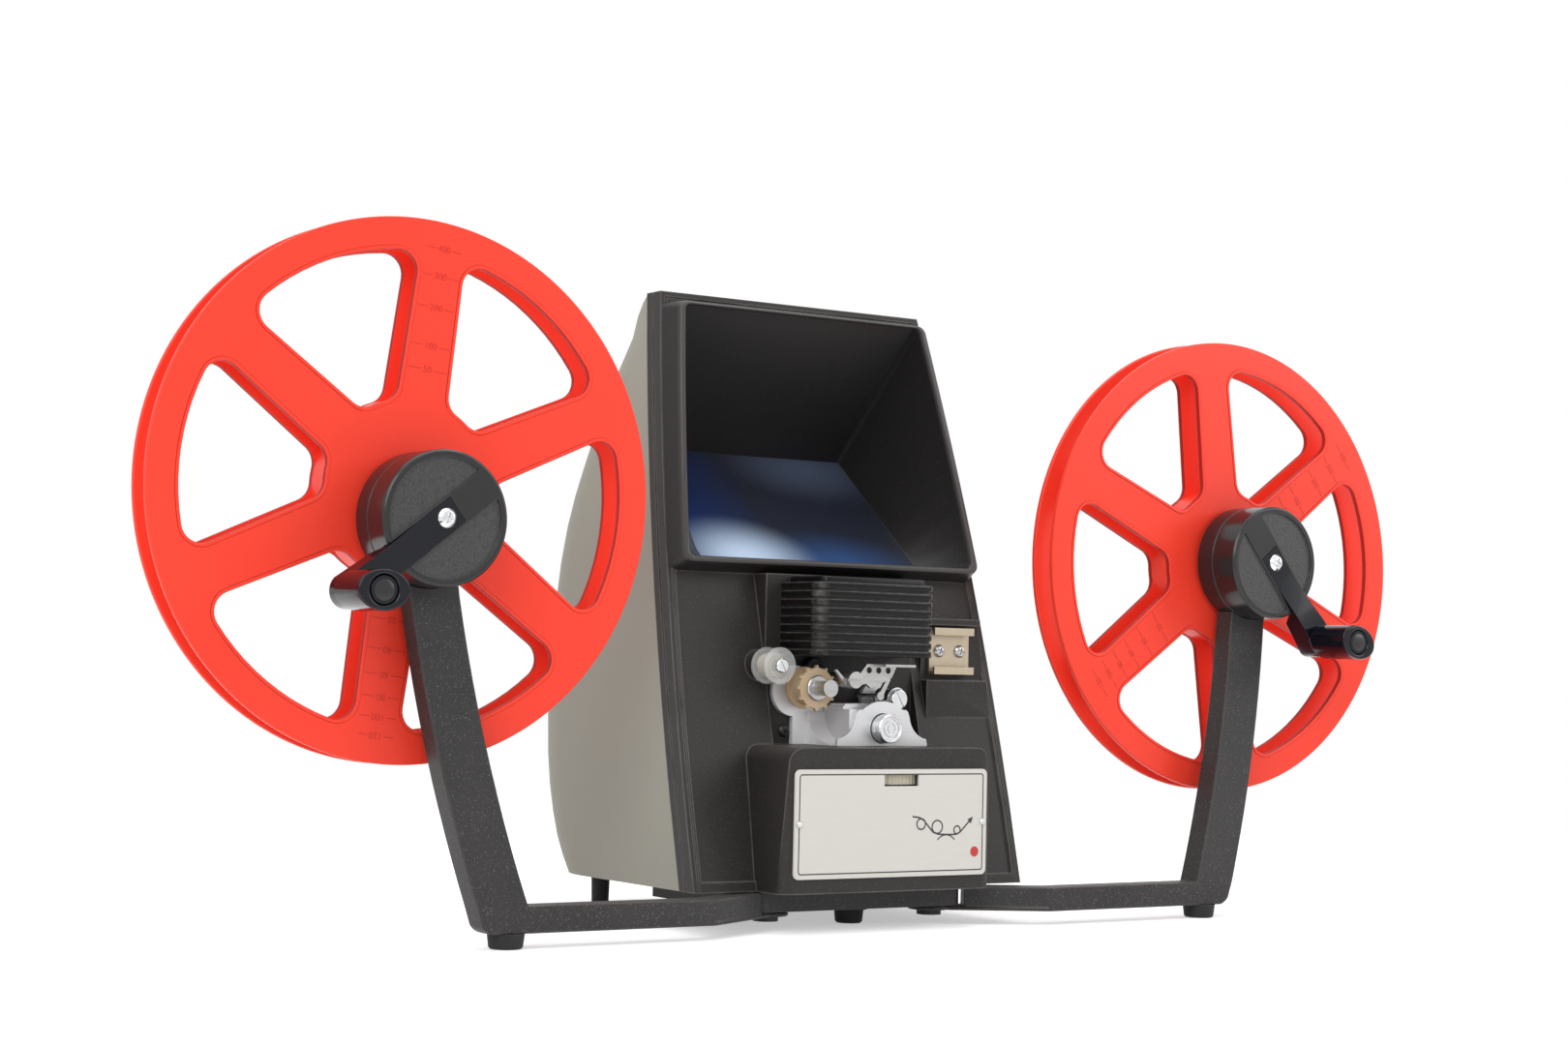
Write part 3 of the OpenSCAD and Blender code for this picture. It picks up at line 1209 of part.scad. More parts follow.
// Reel window: a piece of the ring between two spokes, with round corners
function spoke_half(r) = (spoke_w0 + (spoke_w1 - spoke_w0) * (r - core_r) / (reel_r - reel_rim - core_r)) / 2;
module reel_window(a) {
    outer = reel_r - reel_rim;
    r = window_r;
    step = 360 / spoke_count;
    // Corner centres: along the spoke's edge line, one corner radius inside it
    function centre_angle(q) = asin((spoke_half(q) + r) / q);
    q1 = outer - r;
    q0 = core_r + r;
    a1 = centre_angle(q1);
    a0 = centre_angle(q0);
    c = [[q1, a1], [q1, step - a1], [q0, step - a0], [q0, a0]];
    pts = [for (p = c) [p[0] * cos(p[1]), p[0] * sin(p[1])]];
    flank = atan2(pts[0][1] - pts[3][1], pts[0][0] - pts[3][0]);
    foot_dir = [r * sin(flank), -r * cos(flank)];
    far_dir = [r * sin(step - flank) * -1, r * cos(step - flank)];
    along_y(reel_y - 5, reel_y + 30) rotate(a) {
        for (p = pts) translate(p) circle(r, $fn = 48);
        polygon([pts[0] + foot_dir, pts[0], pts[1], pts[1] + far_dir,
            pts[2] + far_dir, pts[2], pts[3], pts[3] + foot_dir]);
        intersection() {
            difference() {
                circle(outer);
                circle(core_r);
            }
            polygon([pts[3] * 0.9, pts[3], pts[0], pts[0] * 1.2,
                pts[1] * 1.2, pts[1], pts[2], pts[2] * 0.9]);
        }
    }
}
module reel_flange(y0, y1) {
    bevel = 0.5;
    turned(0, 0, y1) polygon([[0, 0], [reel_r - bevel, 0], [reel_r, bevel],
        [reel_r, y1 - y0 - bevel], [reel_r - bevel, y1 - y0], [0, y1 - y0]]);
}
module at_reel(side) translate([spindle_x(side), 0, spindle_z(side)]) children();
module reel_windows(side) for (i = [0 : spoke_count - 1])
    reel_window(spoke_angle(side) + i * 360 / spoke_count);
module reel_front(side) color(reel_red) at_reel(side) {
    inner_y = reel_y + flange_t;
    core_wall = 2;
    difference() {
        union() {
            difference() {
                reel_flange(reel_y, inner_y);
                reel_windows(side);
            }
            // Core with the slot that takes the film's end
            difference() {
                rod(0, 0, reel_y + flange_t / 2, reel_y + reel_t - flange_t, core_r - 0.2);
                rod(0, 0, inner_y, far, core_r - 0.2 - core_wall);
                rotate([0, 20 - spoke_angle(side), 0])
                    block([core_r - 3 * core_wall, inner_y, -1], [core_r + over, far, 1]);
            }
            rod(0, 0, reel_y + flange_t / 2, reel_y + reel_t - flange_t, spindle_r + 3);
        }
        rod(0, 0, 0, far, spindle_r);
    }
}
module reel_rear(side) color(reel_red) at_reel(side) {
    difference() {
        reel_flange(reel_y + reel_t - flange_t, reel_y + reel_t);
        reel_windows(side);
        rod(0, 0, 0, far, spindle_r);
    }
}

in_frame() base_block();
in_frame() base_plate();
in_frame() front_foot();
in_frame() rear_feet();
in_frame() pivot_bolts();
in_frame() front_panel();
in_frame() rear_cover();
in_frame() hood();
in_frame() screen();
in_frame() screen_frame();
in_frame() name_plate();
in_frame() plate_pins();
in_frame() focus_wheel();
in_frame() lens_sleeve();
in_frame() lens_barrel();
in_frame() optics_bracket();
in_frame() lower_mirror();
in_frame() rear_mirror();
in_frame() lamp_house();
in_frame() lamp_bulb();
in_frame() lamp_socket();
in_frame() film_plate();
in_frame() gate_block();
in_frame() gate_bracket();
in_frame() notch_button();
in_frame() pressure_lever();
in_frame() lever_pin();
in_frame() guide_roller();
in_frame() roller_studs();
in_frame() sprocket();
in_frame() sprocket_shaft();
in_frame() prism();
in_frame() prism_shaft();
in_frame() exit_roller();
in_frame() splice_holder();
in_frame() holder_screws();
in_frame() case_screws();
in_frame() cord_gland();
in_frame() arm(-1);  // left_arm
in_frame() arm_foot(-1);  // left_arm_foot
in_frame() gear_case(-1);  // left_gear_case
in_frame() crank_drum(-1);  // left_crank_drum
in_frame() crank_lever(-1);  // left_crank_lever
in_frame() crank_screw(-1);  // left_crank_screw
in_frame() knob(-1);  // left_knob
in_frame() spindle(-1);  // left_spindle
in_frame() reel_front(-1);  // left_reel_front
in_frame() reel_rear(-1);  // left_reel_rear
in_frame() arm(1);  // right_arm
in_frame() arm_foot(1);  // right_arm_foot
in_frame() gear_case(1);  // right_gear_case
in_frame() crank_drum(1);  // right_crank_drum
in_frame() crank_lever(1);  // right_crank_lever
in_frame() crank_screw(1);  // right_crank_screw
in_frame() knob(1);  // right_knob
in_frame() spindle(1);  // right_spindle
in_frame() reel_front(1);  // right_reel_front
in_frame() reel_rear(1);  // right_reel_rear
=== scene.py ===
import json
import math

import bmesh
import bpy
from mathutils import Matrix, Vector

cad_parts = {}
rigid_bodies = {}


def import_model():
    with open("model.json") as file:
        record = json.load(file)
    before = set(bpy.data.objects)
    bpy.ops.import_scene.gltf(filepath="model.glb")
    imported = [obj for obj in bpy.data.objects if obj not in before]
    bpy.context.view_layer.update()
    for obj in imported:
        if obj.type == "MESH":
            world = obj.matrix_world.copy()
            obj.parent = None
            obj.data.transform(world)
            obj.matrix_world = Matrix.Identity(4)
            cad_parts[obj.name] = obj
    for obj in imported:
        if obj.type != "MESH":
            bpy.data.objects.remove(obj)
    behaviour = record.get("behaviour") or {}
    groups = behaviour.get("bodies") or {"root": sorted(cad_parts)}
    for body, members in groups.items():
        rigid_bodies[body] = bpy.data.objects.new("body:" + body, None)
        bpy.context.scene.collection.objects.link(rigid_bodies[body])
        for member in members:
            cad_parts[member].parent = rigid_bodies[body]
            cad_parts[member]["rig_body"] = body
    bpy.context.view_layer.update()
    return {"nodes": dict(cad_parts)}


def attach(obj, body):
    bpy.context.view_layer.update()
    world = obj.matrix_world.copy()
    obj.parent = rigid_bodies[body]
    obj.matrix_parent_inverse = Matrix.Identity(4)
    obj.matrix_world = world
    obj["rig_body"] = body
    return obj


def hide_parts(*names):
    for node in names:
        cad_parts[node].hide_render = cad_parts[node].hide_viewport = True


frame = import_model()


# ---- Camera ----
# Stands low and to the left of the viewer, about a metre off, and looks slightly
# up at it. The drawing's own axes start between the two arm feet, and place()
# turns its millimetres into metres in the shared frame.
DRAWING_ORIGIN = (3.3444, -57.75, 0.0)


def place(x, y, z):
    ox, oy, oz = DRAWING_ORIGIN
    return Vector(((x + ox) / 1000, (y + oy) / 1000, (z + oz) / 1000))


CAMERA_AT = (-556.728, -768.133, 93.586)
FOCAL_MM, SENSOR_MM = 61.0, 36.0
yaw, pitch, roll = 0.587, 0.0534, 0.022
ahead = Vector((math.sin(yaw) * math.cos(pitch), math.cos(yaw) * math.cos(pitch), math.sin(pitch)))
level_right = Vector((math.cos(yaw), -math.sin(yaw), 0.0))
level_up = level_right.cross(ahead)
picture_right = level_right * math.cos(roll) + level_up * math.sin(roll)
picture_up = level_up * math.cos(roll) - level_right * math.sin(roll)
lens = bpy.data.cameras.new("studio_camera")
lens.lens = FOCAL_MM
lens.sensor_width = SENSOR_MM
lens.clip_start = 0.01
camera = bpy.data.objects.new("studio_camera", lens)
turn = Matrix((picture_right, picture_up, -ahead)).transposed().to_4x4()
camera.matrix_world = Matrix.Translation(place(*CAMERA_AT)) @ turn
bpy.context.scene.collection.objects.link(camera)
bpy.context.scene.camera = camera
bpy.context.scene.view_settings.view_transform = "Standard"


# ---- Studio ----
# A white sweep of floor under soft boxes: one high in front on the left, one on the
# right and one overhead. The floor keeps the shadow near the viewer and runs out
# into plain white.
def paint(r, g, b):
    """A colour given in 8-bit display values, as the shader wants it."""
    def straight(v):
        v /= 255
        return v / 12.92 if v <= 0.04045 else ((v + 0.055) / 1.055) ** 2.4
    return (straight(r), straight(g), straight(b), 1.0)


def blank_material(name):
    mat = bpy.data.materials.new(name)
    mat.use_nodes = True
    mat.node_tree.nodes.clear()
    return mat, mat.node_tree.nodes, mat.node_tree.links


def add_nodes(nodes, *kinds):
    """New shader nodes of these kinds, in this order."""
    return [nodes.new("ShaderNode" + kind) for kind in kinds]


def seen_plainly(nodes, links):
    """Full where the camera sees a thing straight, through glass or in a bright surface."""
    path, straight, either = add_nodes(nodes, "LightPath", "Math", "Math")
    straight.operation = either.operation = "MAXIMUM"
    links.new(path.outputs["Is Camera Ray"], straight.inputs[0])
    links.new(path.outputs["Is Transmission Ray"], straight.inputs[1])
    links.new(straight.outputs[0], either.inputs[0])
    links.new(path.outputs["Is Glossy Ray"], either.inputs[1])
    return either.outputs[0]


AIR_COLOUR, AIR_STRENGTH = (0.97, 0.985, 1.0, 1.0), 0.5
world = bpy.data.worlds.new("studio_air")
bpy.context.scene.world = world
world.use_nodes = True
air, air_links = world.node_tree.nodes, world.node_tree.links
air.clear()
soft, white, pick, air_end = add_nodes(air, "Background", "Background", "MixShader", "OutputWorld")
soft.inputs["Color"].default_value = AIR_COLOUR
soft.inputs["Strength"].default_value = AIR_STRENGTH
white.inputs["Color"].default_value = (1, 1, 1, 1)
white.inputs["Strength"].default_value = 1.0
air_links.new(seen_plainly(air, air_links), pick.inputs[0])
air_links.new(soft.outputs[0], pick.inputs[1])
air_links.new(white.outputs[0], pick.inputs[2])
air_links.new(pick.outputs[0], air_end.inputs[0])

FLOOR_HALF, FLOOR_DROP, FLOOR_PAINT, FLOOR_LIFT = 9.0, 0.0002, (0.9, 0.9, 0.9, 1), 0.45
SHADOW_REACH = (0.42, 0.95)
sweep_mesh = bpy.data.meshes.new("studio_floor")
sweep = bmesh.new()
bmesh.ops.create_grid(sweep, x_segments=4, y_segments=4, size=FLOOR_HALF)
sweep.to_mesh(sweep_mesh)
sweep.free()
floor = bpy.data.objects.new("studio_floor", sweep_mesh)
floor.location = (0, 0, -FLOOR_DROP)
bpy.context.scene.collection.objects.link(floor)
floor_white, floor_nodes, floor_links = blank_material("floor_white")
matt, lift, plain = add_nodes(floor_nodes, "BsdfDiffuse", "Emission", "Emission")
near, far, choose = add_nodes(floor_nodes, "AddShader", "MixShader", "MixShader")
floor_end = floor_nodes.new("ShaderNodeOutputMaterial")
where, away, fade = add_nodes(floor_nodes, "TexCoord", "VectorMath", "MapRange")
matt.inputs["Color"].default_value = FLOOR_PAINT
lift.inputs["Strength"].default_value = FLOOR_LIFT
away.operation = "LENGTH"
fade.interpolation_type = "SMOOTHSTEP"
fade.inputs["From Min"].default_value, fade.inputs["From Max"].default_value = SHADOW_REACH
floor_links.new(where.outputs["Object"], away.inputs[0])
floor_links.new(away.outputs["Value"], fade.inputs["Value"])
floor_links.new(matt.outputs[0], near.inputs[0])
floor_links.new(lift.outputs[0], near.inputs[1])
floor_links.new(fade.outputs["Result"], far.inputs[0])
floor_links.new(near.outputs[0], far.inputs[1])
floor_links.new(plain.outputs[0], far.inputs[2])
floor_links.new(seen_plainly(floor_nodes, floor_links), choose.inputs[0])
floor_links.new(matt.outputs[0], choose.inputs[1])
floor_links.new(far.outputs[0], choose.inputs[2])
floor_links.new(choose.outputs[0], floor_end.inputs["Surface"])
sweep_mesh.materials.append(floor_white)


def soft_box(name, at, aim, size, watts):
    """A lamp behind a cloth of this size in metres, aimed at one spot."""
    light = bpy.data.lights.new(name, "AREA")
    light.shape = "RECTANGLE"
    light.size, light.size_y = size
    light.energy = watts
    lamp = bpy.data.objects.new(name, light)
    lamp.location = at
    lamp.rotation_euler = (Vector(aim) - Vector(at)).to_track_quat("-Z", "Y").to_euler()
    bpy.context.scene.collection.objects.link(lamp)


soft_box("box_left", (-1.5, -1.3, 1.3), (0, 0, 0.12), (1.4, 1.4), 22)
soft_box("box_right", (1.6, -1.2, 1.0), (0, 0, 0.1), (1.2, 1.2), 12)
soft_box("box_overhead", (0.0, 0.1, 1.9), (0, 0, 0.1), (2.2, 1.6), 20)


# ---- Base ----
# A cast block in dark stove enamel, screwed under the housing, holds the pivot bolts
# of both arms and stands on one rubber foot. A moulded plate closes the housing from
# below, and two rubber feet pushed into it carry the back.
def effect(name, wanted, given):
    """A node group with the wanted values as its inputs and the given ones as outputs."""
    group = bpy.data.node_groups.new(name, "ShaderNodeTree")
    for label, value in wanted:
        socket = group.interface.new_socket(label, in_out="INPUT", socket_type="NodeSocketFloat")
        socket.default_value = value
    for label in given:
        group.interface.new_socket(label, in_out="OUTPUT", socket_type="NodeSocketFloat")
    return group, group.nodes.new("NodeGroupInput"), group.nodes.new("NodeGroupOutput")


def maths(group, how, a, b, clamp=False):
    """One step of reckoning with two numbers or sockets."""
    node = group.nodes.new("ShaderNodeMath")
    node.operation = how
    node.use_clamp = clamp
    for i, v in enumerate((a, b)):
        if isinstance(v, (int, float)):
            node.inputs[i].default_value = v
        else:
            group.links.new(v, node.inputs[i])
    return node.outputs[0]


def blotches(group, where, scale, detail=3.0, rough=0.55):
    """Soft-edged patches, so many to the metre."""
    noise = group.nodes.new("ShaderNodeTexNoise")
    noise.inputs["Detail"].default_value = detail
    noise.inputs["Roughness"].default_value = rough
    group.links.new(where, noise.inputs["Vector"])
    if isinstance(scale, (int, float)):
        noise.inputs["Scale"].default_value = scale
    else:
        group.links.new(scale, noise.inputs["Scale"])
    return noise.outputs["Fac"]


def on_piece(group):
    return group.nodes.new("ShaderNodeTexCoord").outputs["Object"]


# Moulded skin: the fine spark-eroded grain of the tool, and slow changes of tone
DRIFT_SHARE, GRAIN_SHARE = 0.7, 0.3
skin, skin_in, skin_out = effect("moulded_skin",
    [("Grain", 2600.0), ("Drift", 14.0)], ["Height", "Tone"])
grain = blotches(skin, on_piece(skin), skin_in.outputs["Grain"], 4.0, 0.7)
drift = blotches(skin, on_piece(skin), skin_in.outputs["Drift"], 3.0, 0.5)
skin_tone = maths(skin, "ADD", maths(skin, "MULTIPLY", drift, DRIFT_SHARE),
    maths(skin, "MULTIPLY", grain, GRAIN_SHARE))
skin.links.new(grain, skin_out.inputs["Height"])
skin.links.new(skin_tone, skin_out.inputs["Tone"])

# Pale edges: some wear where hands and shelves have polished the corners, and a painted
# highlight along every edge. A rounded copy of the surface turns away from the true one
# there, and patches break up the pale line.
EDGE_GAIN, PATCH_FROM, PATCH_GAIN = 6.0, 0.16, 2.6
rub, rub_in, rub_out = effect("rubbed_edges",
    [("Reach", 0.0006), ("Patch", 60.0), ("Amount", 0.6)], ["Mask"])
rounded, apart, true_face = add_nodes(rub.nodes, "Bevel", "VectorMath", "NewGeometry")
rounded.samples = 4
apart.operation = "DOT_PRODUCT"
rub.links.new(rub_in.outputs["Reach"], rounded.inputs["Radius"])
rub.links.new(rounded.outputs[0], apart.inputs[0])
rub.links.new(true_face.outputs["Normal"], apart.inputs[1])
edge_patch = maths(rub, "SUBTRACT", blotches(rub, on_piece(rub), rub_in.outputs["Patch"]), PATCH_FROM)
edge_patch = maths(rub, "MULTIPLY", edge_patch, PATCH_GAIN, True)
edge_line = maths(rub, "MULTIPLY", maths(rub, "SUBTRACT", 1.0, apart.outputs["Value"]), EDGE_GAIN, True)
edge_line = maths(rub, "MULTIPLY", edge_line, edge_patch)
rub.links.new(maths(rub, "MULTIPLY", edge_line, rub_in.outputs["Amount"], True), rub_out.inputs["Mask"])

# Dust: a thin grey film that lies on what faces up
dust, dust_in, dust_out = effect("settled_dust", [("Amount", 0.3), ("Patch", 90.0)], ["Mask"])
facing, facing_axes = add_nodes(dust.nodes, "NewGeometry", "SeparateXYZ")
dust.links.new(facing.outputs["Normal"], facing_axes.inputs[0])
facing_up = maths(dust, "POWER", maths(dust, "MAXIMUM", facing_axes.outputs["Z"], 0.0), 2.0)
dust_patch = blotches(dust, on_piece(dust), dust_in.outputs["Patch"], 5.0, 0.7)
settled = maths(dust, "MULTIPLY", facing_up, dust_patch)
settled = maths(dust, "MULTIPLY", settled, dust_in.outputs["Amount"], True)
dust.links.new(settled, dust_out.inputs["Mask"])

# Specks: pale grains in enamel and plastic, and the lint that sticks to them
SPECK_GAIN = 16.0
specks, specks_in, specks_out = effect("fine_specks",
    [("Amount", 0.5), ("Grains", 2000.0), ("Rare", 0.65)], ["Mask"])
speck = blotches(specks, on_piece(specks), specks_in.outputs["Grains"], 1.0, 0.5)
speck = maths(specks, "SUBTRACT", speck, specks_in.outputs["Rare"])
speck = maths(specks, "MULTIPLY", speck, SPECK_GAIN, True)
speck = maths(specks, "MULTIPLY", speck, specks_in.outputs["Amount"])
specks.links.new(speck, specks_out.inputs["Mask"])


def place_effect(mat, group, **values):
    """An effect placed in a material, with that material's own values."""
    node = mat.node_tree.nodes.new("ShaderNodeGroup")
    node.node_tree = group
    for label, value in values.items():
        node.inputs[label.replace("_", " ")].default_value = value
    return node


def mixed(mat, mask, a, b):
    """Colour a, going to colour b where the mask is full."""
    mix = mat.node_tree.nodes.new("ShaderNodeMix")
    mix.data_type = "RGBA"
    mat.node_tree.links.new(mask, mix.inputs["Factor"])
    for socket, colour in ((mix.inputs["A"], a), (mix.inputs["B"], b)):
        if isinstance(colour, tuple):
            socket.default_value = colour
        else:
            mat.node_tree.links.new(colour, socket)
    return mix.outputs["Result"]


def ranged(mat, mask, low, high, start=0.0, end=1.0):
    """Goes from low to high while the mask goes from start to end."""
    span = mat.node_tree.nodes.new("ShaderNodeMapRange")
    for label, value in (("From Min", start), ("From Max", end), ("To Min", low), ("To Max", high)):
        span.inputs[label].default_value = value
    mat.node_tree.links.new(mask, span.inputs["Value"])
    return span.outputs["Result"]


def raised(mat, height, depth):
    """Relief of so many metres from a height that runs from 0 to 1."""
    bump = mat.node_tree.nodes.new("ShaderNodeBump")
    bump.inputs["Strength"].default_value = 1.0
    bump.inputs["Distance"].default_value = depth
    mat.node_tree.links.new(height, bump.inputs["Height"])
    return bump.outputs["Normal"]


SPECK_COLOUR, DUST_COLOUR = paint(150, 146, 140), paint(196, 192, 184)
GLOW_DEPTH = 0.002


def surface(name, colour, deeper, rough, **more):
    """A finish whose colour, roughness and relief change over the piece, from the deeper
    tone and the first roughness to the full colour and the second. more gives what it
    is besides: metallic, coat, pale edges of wear and painted highlight, specks, dust,
    or light let through."""
    mat, nodes, links = blank_material(name)
    shader, end = add_nodes(nodes, "BsdfPrincipled", "OutputMaterial")
    links.new(shader.outputs[0], end.inputs["Surface"])
    texture = place_effect(mat, more.get("texture", skin), **more.get("grain", {}))
    tone = texture.outputs["Tone"] if "Tone" in texture.outputs else texture.outputs["Height"]
    tint = mixed(mat, tone, deeper, colour)
    # Pale edges: edge wear and a painted highlight along the edges
    if "rub" in more:
        edge_mask = place_effect(mat, rub, **more["rub"]).outputs["Mask"]
        tint = mixed(mat, edge_mask, tint, more["rubbed_to"])
    if "specks" in more:
        grains = place_effect(mat, specks, Amount=more["specks"]).outputs["Mask"]
        tint = mixed(mat, grains, tint, SPECK_COLOUR)
    if "dust" in more:
        dusty = place_effect(mat, dust, Amount=more["dust"]).outputs["Mask"]
        tint = mixed(mat, dusty, tint, DUST_COLOUR)
    relief = raised(mat, texture.outputs["Height"], more.get("relief", 0.00002))
    links.new(tint, shader.inputs["Base Color"])
    links.new(ranged(mat, tone, *rough), shader.inputs["Roughness"])
    links.new(relief, shader.inputs["Normal"])
    for label, key, usual in (("Metallic", "metallic", 0.0), ("Coat Weight", "coat", 0.0),
            ("Specular IOR Level", "specular", 0.5), ("Transmission Weight", "clear", 0.0),
            ("Subsurface Weight", "glow", 0.0)):
        shader.inputs[label].default_value = more.get(key, usual)
    shader.inputs["Subsurface Scale"].default_value = GLOW_DEPTH
    return mat


def finish(mat, *names):
    """Gives carried-over solids their material."""
    for name in names:
        solid = frame["nodes"][name]
        if not solid.material_slots:
            solid.data.materials.append(mat)
        for s in solid.material_slots:
            s.material = mat


def shaded_area(mesh):
    """The area of a mesh, by which a merge that lost a face is found."""
    mesh.calc_loop_triangles()
    return sum(t.area for t in mesh.loop_triangles)


def stand(name, mesh, body, *materials, sharp=38):
    """Puts a piece in the scene with its materials and lets it ride on its body. Edges
    that turn by more than sharp degrees stay crisp."""
    mesh.materials.clear()
    for mat in materials:
        mesh.materials.append(mat)
    for face in mesh.polygons:
        face.use_smooth = True
    mesh.set_sharp_from_angle(angle=math.radians(sharp))
    piece = bpy.data.objects.new(name, mesh)
    bpy.context.scene.collection.objects.link(piece)
    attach(piece, body)
    return piece


EASE_STEPS, EASE_ANGLE = 2, math.radians(34)


def ease_edges(piece, ease, clamp):
    """Rounds a piece's edges by so many millimetres, as mould and file leave them."""
    bevel = piece.modifiers.new("eased_edge", "BEVEL")
    bevel.width = ease / 1000
    bevel.segments = EASE_STEPS
    bevel.limit_method = "ANGLE"
    bevel.angle_limit = EASE_ANGLE
    bevel.use_clamp_overlap = clamp
    even = piece.modifiers.new("even_shading", "WEIGHTED_NORMAL")
    even.keep_sharp = False


WELD, FLAT_ANGLE, AREA_SLIP = 2e-6, math.radians(0.6), 0.002


def eased(mat, ease, *names, inlay=None, inlaid=None):
    """Stands a copy with eased edges for each solid. inlaid picks, by a face's middle
    and normal, the faces that take the second material."""
    for name in names:
        solid = frame["nodes"][name]
        work = bmesh.new()
        work.from_mesh(solid.data)
        bmesh.ops.remove_doubles(work, verts=work.verts, dist=WELD)
        whole, mesh = bpy.data.meshes.new("eased_" + name), bpy.data.meshes.new("eased_" + name)
        work.to_mesh(whole)
        bmesh.ops.dissolve_limit(work, angle_limit=FLAT_ANGLE, verts=work.verts, edges=work.edges)
        work.to_mesh(mesh)
        work.free()
        merged = abs(shaded_area(mesh) - shaded_area(whole)) < AREA_SLIP * shaded_area(whole)
        mesh = mesh if merged else whole
        piece = stand("eased_" + name, mesh, solid["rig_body"], *([mat, inlay] if inlay else [mat]))
        for face in mesh.polygons:
            face.material_index = 1 if inlaid and inlaid(face.center, face.normal) else 0
        ease_edges(piece, ease, merged)
        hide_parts(name)


base_enamel = surface("base_enamel", paint(56, 54, 54), paint(44, 43, 43), (0.5, 0.62),
    grain={"Grain": 3200.0, "Drift": 30.0}, relief=0.00002, rub={"Amount": 0.35},
    rubbed_to=paint(120, 118, 116), specks=0.25, dust=0.1, specular=0.35)
base_plastic = surface("base_plastic", paint(50, 48, 47), paint(40, 39, 38), (0.5, 0.62), dust=0.1,
    specular=0.35)
black_rubber = surface("black_rubber", paint(48, 47, 47), paint(34, 33, 33), (0.6, 0.8),
    grain={"Grain": 1500.0}, relief=0.00003, dust=0.3, specular=0.3)
eased(base_enamel, 0.5, "base_block")
finish(base_enamel, "pivot_bolts")
finish(base_plastic, "base_plate")
finish(black_rubber, "front_foot", "rear_feet")


# ---- Housing ----
# The front is one dark plastic moulding with a fine matt skin, from the bezel round the
# hood down to the block that carries the name plate. The deep cover behind it is moulded
# in a paler plastic and closes on its rear edge.
# Its strong pale edge lines are mostly a painted highlight
front_plastic = surface("front_plastic", paint(46, 43, 42), paint(36, 34, 33), (0.4, 0.54),
    grain={"Grain": 2400.0}, relief=0.000018, rub={"Amount": 0.9, "Reach": 0.0009},
    rubbed_to=paint(118, 114, 109), specks=0.12, dust=0.1, specular=0.26)
cover_plastic = surface("cover_plastic", paint(164, 163, 151), paint(146, 145, 134), (0.5, 0.64),
    grain={"Grain": 1900.0, "Drift": 9.0}, relief=0.000014, dust=0.1, specular=0.3)
eased(front_plastic, 0.7, "front_panel")
eased(cover_plastic, 0.4, "rear_cover")


# ---- Hood and screen ----
# The hood is one satin black moulding, set in the front's opening: a rounded rim, and a
# funnel that runs down to the screen. The screen is a tinted plastic plate in a frame,
# and the picture falls on it from below.
FRONT_LEAN, FRONT_FOOT_Y = 14.11, 8.23
HOUSING_HALF_W, SIDE_CURVE_R, SIDE_Z = 71.7, 1600.0, 25.0
HOOD_Z, HOOD_REACH, RIM_W = (126.4, 226.0), 8.5, 2.8
RIM_IN, RIM_IN_MORE = 2.3, 1.2
SCREEN_HALF_W, SCREEN_FRONT, SCREEN_BACK = 48.0, (47.0, 129.6), (103.0, 174.6)
SHELL = 1.8


def front_y(z):
    return FRONT_FOOT_Y + z * math.tan(math.radians(FRONT_LEAN))


def side_x(z):
    return HOUSING_HALF_W - SIDE_CURVE_R + math.sqrt(SIDE_CURVE_R ** 2 - (z - SIDE_Z) ** 2)


def around(x, z, r, start=0, end=360, steps=32):
    """Points on a circle, or on an arc with a point at both ends, in degrees."""
    turns = [math.radians(start + (end - start) * i / steps) for i in range(steps + (end - start < 360))]
    return [(x + r * math.cos(a), z + r * math.sin(a)) for a in turns]


def panel_ring(low, high, corner, half_width, depth):
    """Points round an upright opening with round corners, in a plane that leans with
    the front and stands so far behind it."""
    rights = around(half_width(low + corner) - corner, low + corner, corner, -90, 0, 6)
    rights += [(half_width(z), z) for z in (low + (high - low) * i / 8 for i in range(1, 8))]
    rights += around(half_width(high - corner) - corner, high - corner, corner, 0, 90, 6)
    both = rights + [(-x, z) for x, z in reversed(rights)]
    return [place(x, front_y(z) + depth, z) for x, z in both]


def screen_ring(grow):
    """The same number of points round the screen, grown by so much, in its own plane."""
    long = math.dist(SCREEN_FRONT, SCREEN_BACK)
    dy, dz = ((b - a) / long for a, b in zip(SCREEN_FRONT, SCREEN_BACK))
    flat = panel_ring(-grow, long + grow, 2.0, lambda t: SCREEN_HALF_W + grow, 0)
    ring = []
    for p in flat:
        x, t = p.x * 1000 - DRAWING_ORIGIN[0], p.z * 1000
        ring.append(place(x, SCREEN_FRONT[0] + dy * t, SCREEN_FRONT[1] + dz * t))
    return ring


def rim_half(z):
    """Half the rim's width, which draws in towards the top."""
    share = (z - HOOD_Z[0]) / (HOOD_Z[1] - HOOD_Z[0])
    return side_x(z) - RIM_IN - RIM_IN_MORE * share


def skin_over(work, rows, back_to_first=False, closed=True):
    """Faces from each row of points to the next, and from the last back to the first.
    A row that isn't closed is an open line."""
    for here, after in zip(rows, rows[1:] + rows[:1] if back_to_first else rows[1:]):
        for i in range(len(here) if closed else len(here) - 1):
            j = (i + 1) % len(here)
            work.faces.new((here[i], here[j], after[j], after[i]))


def shaped(name, work):
    """The mesh of a finished shape, with its faces turned outward."""
    bmesh.ops.recalc_face_normals(work, faces=work.faces)
    mesh = bpy.data.meshes.new(name)
    work.to_mesh(mesh)
    work.free()
    return mesh


def painted_over(mat, mask, colour):
    """Lays one more colour over a finish, where the mask is full."""
    base = mat.node_tree.nodes["Principled BSDF"].inputs["Base Color"]
    mat.node_tree.links.new(mixed(mat, mask, base.links[0].from_socket, colour), base)


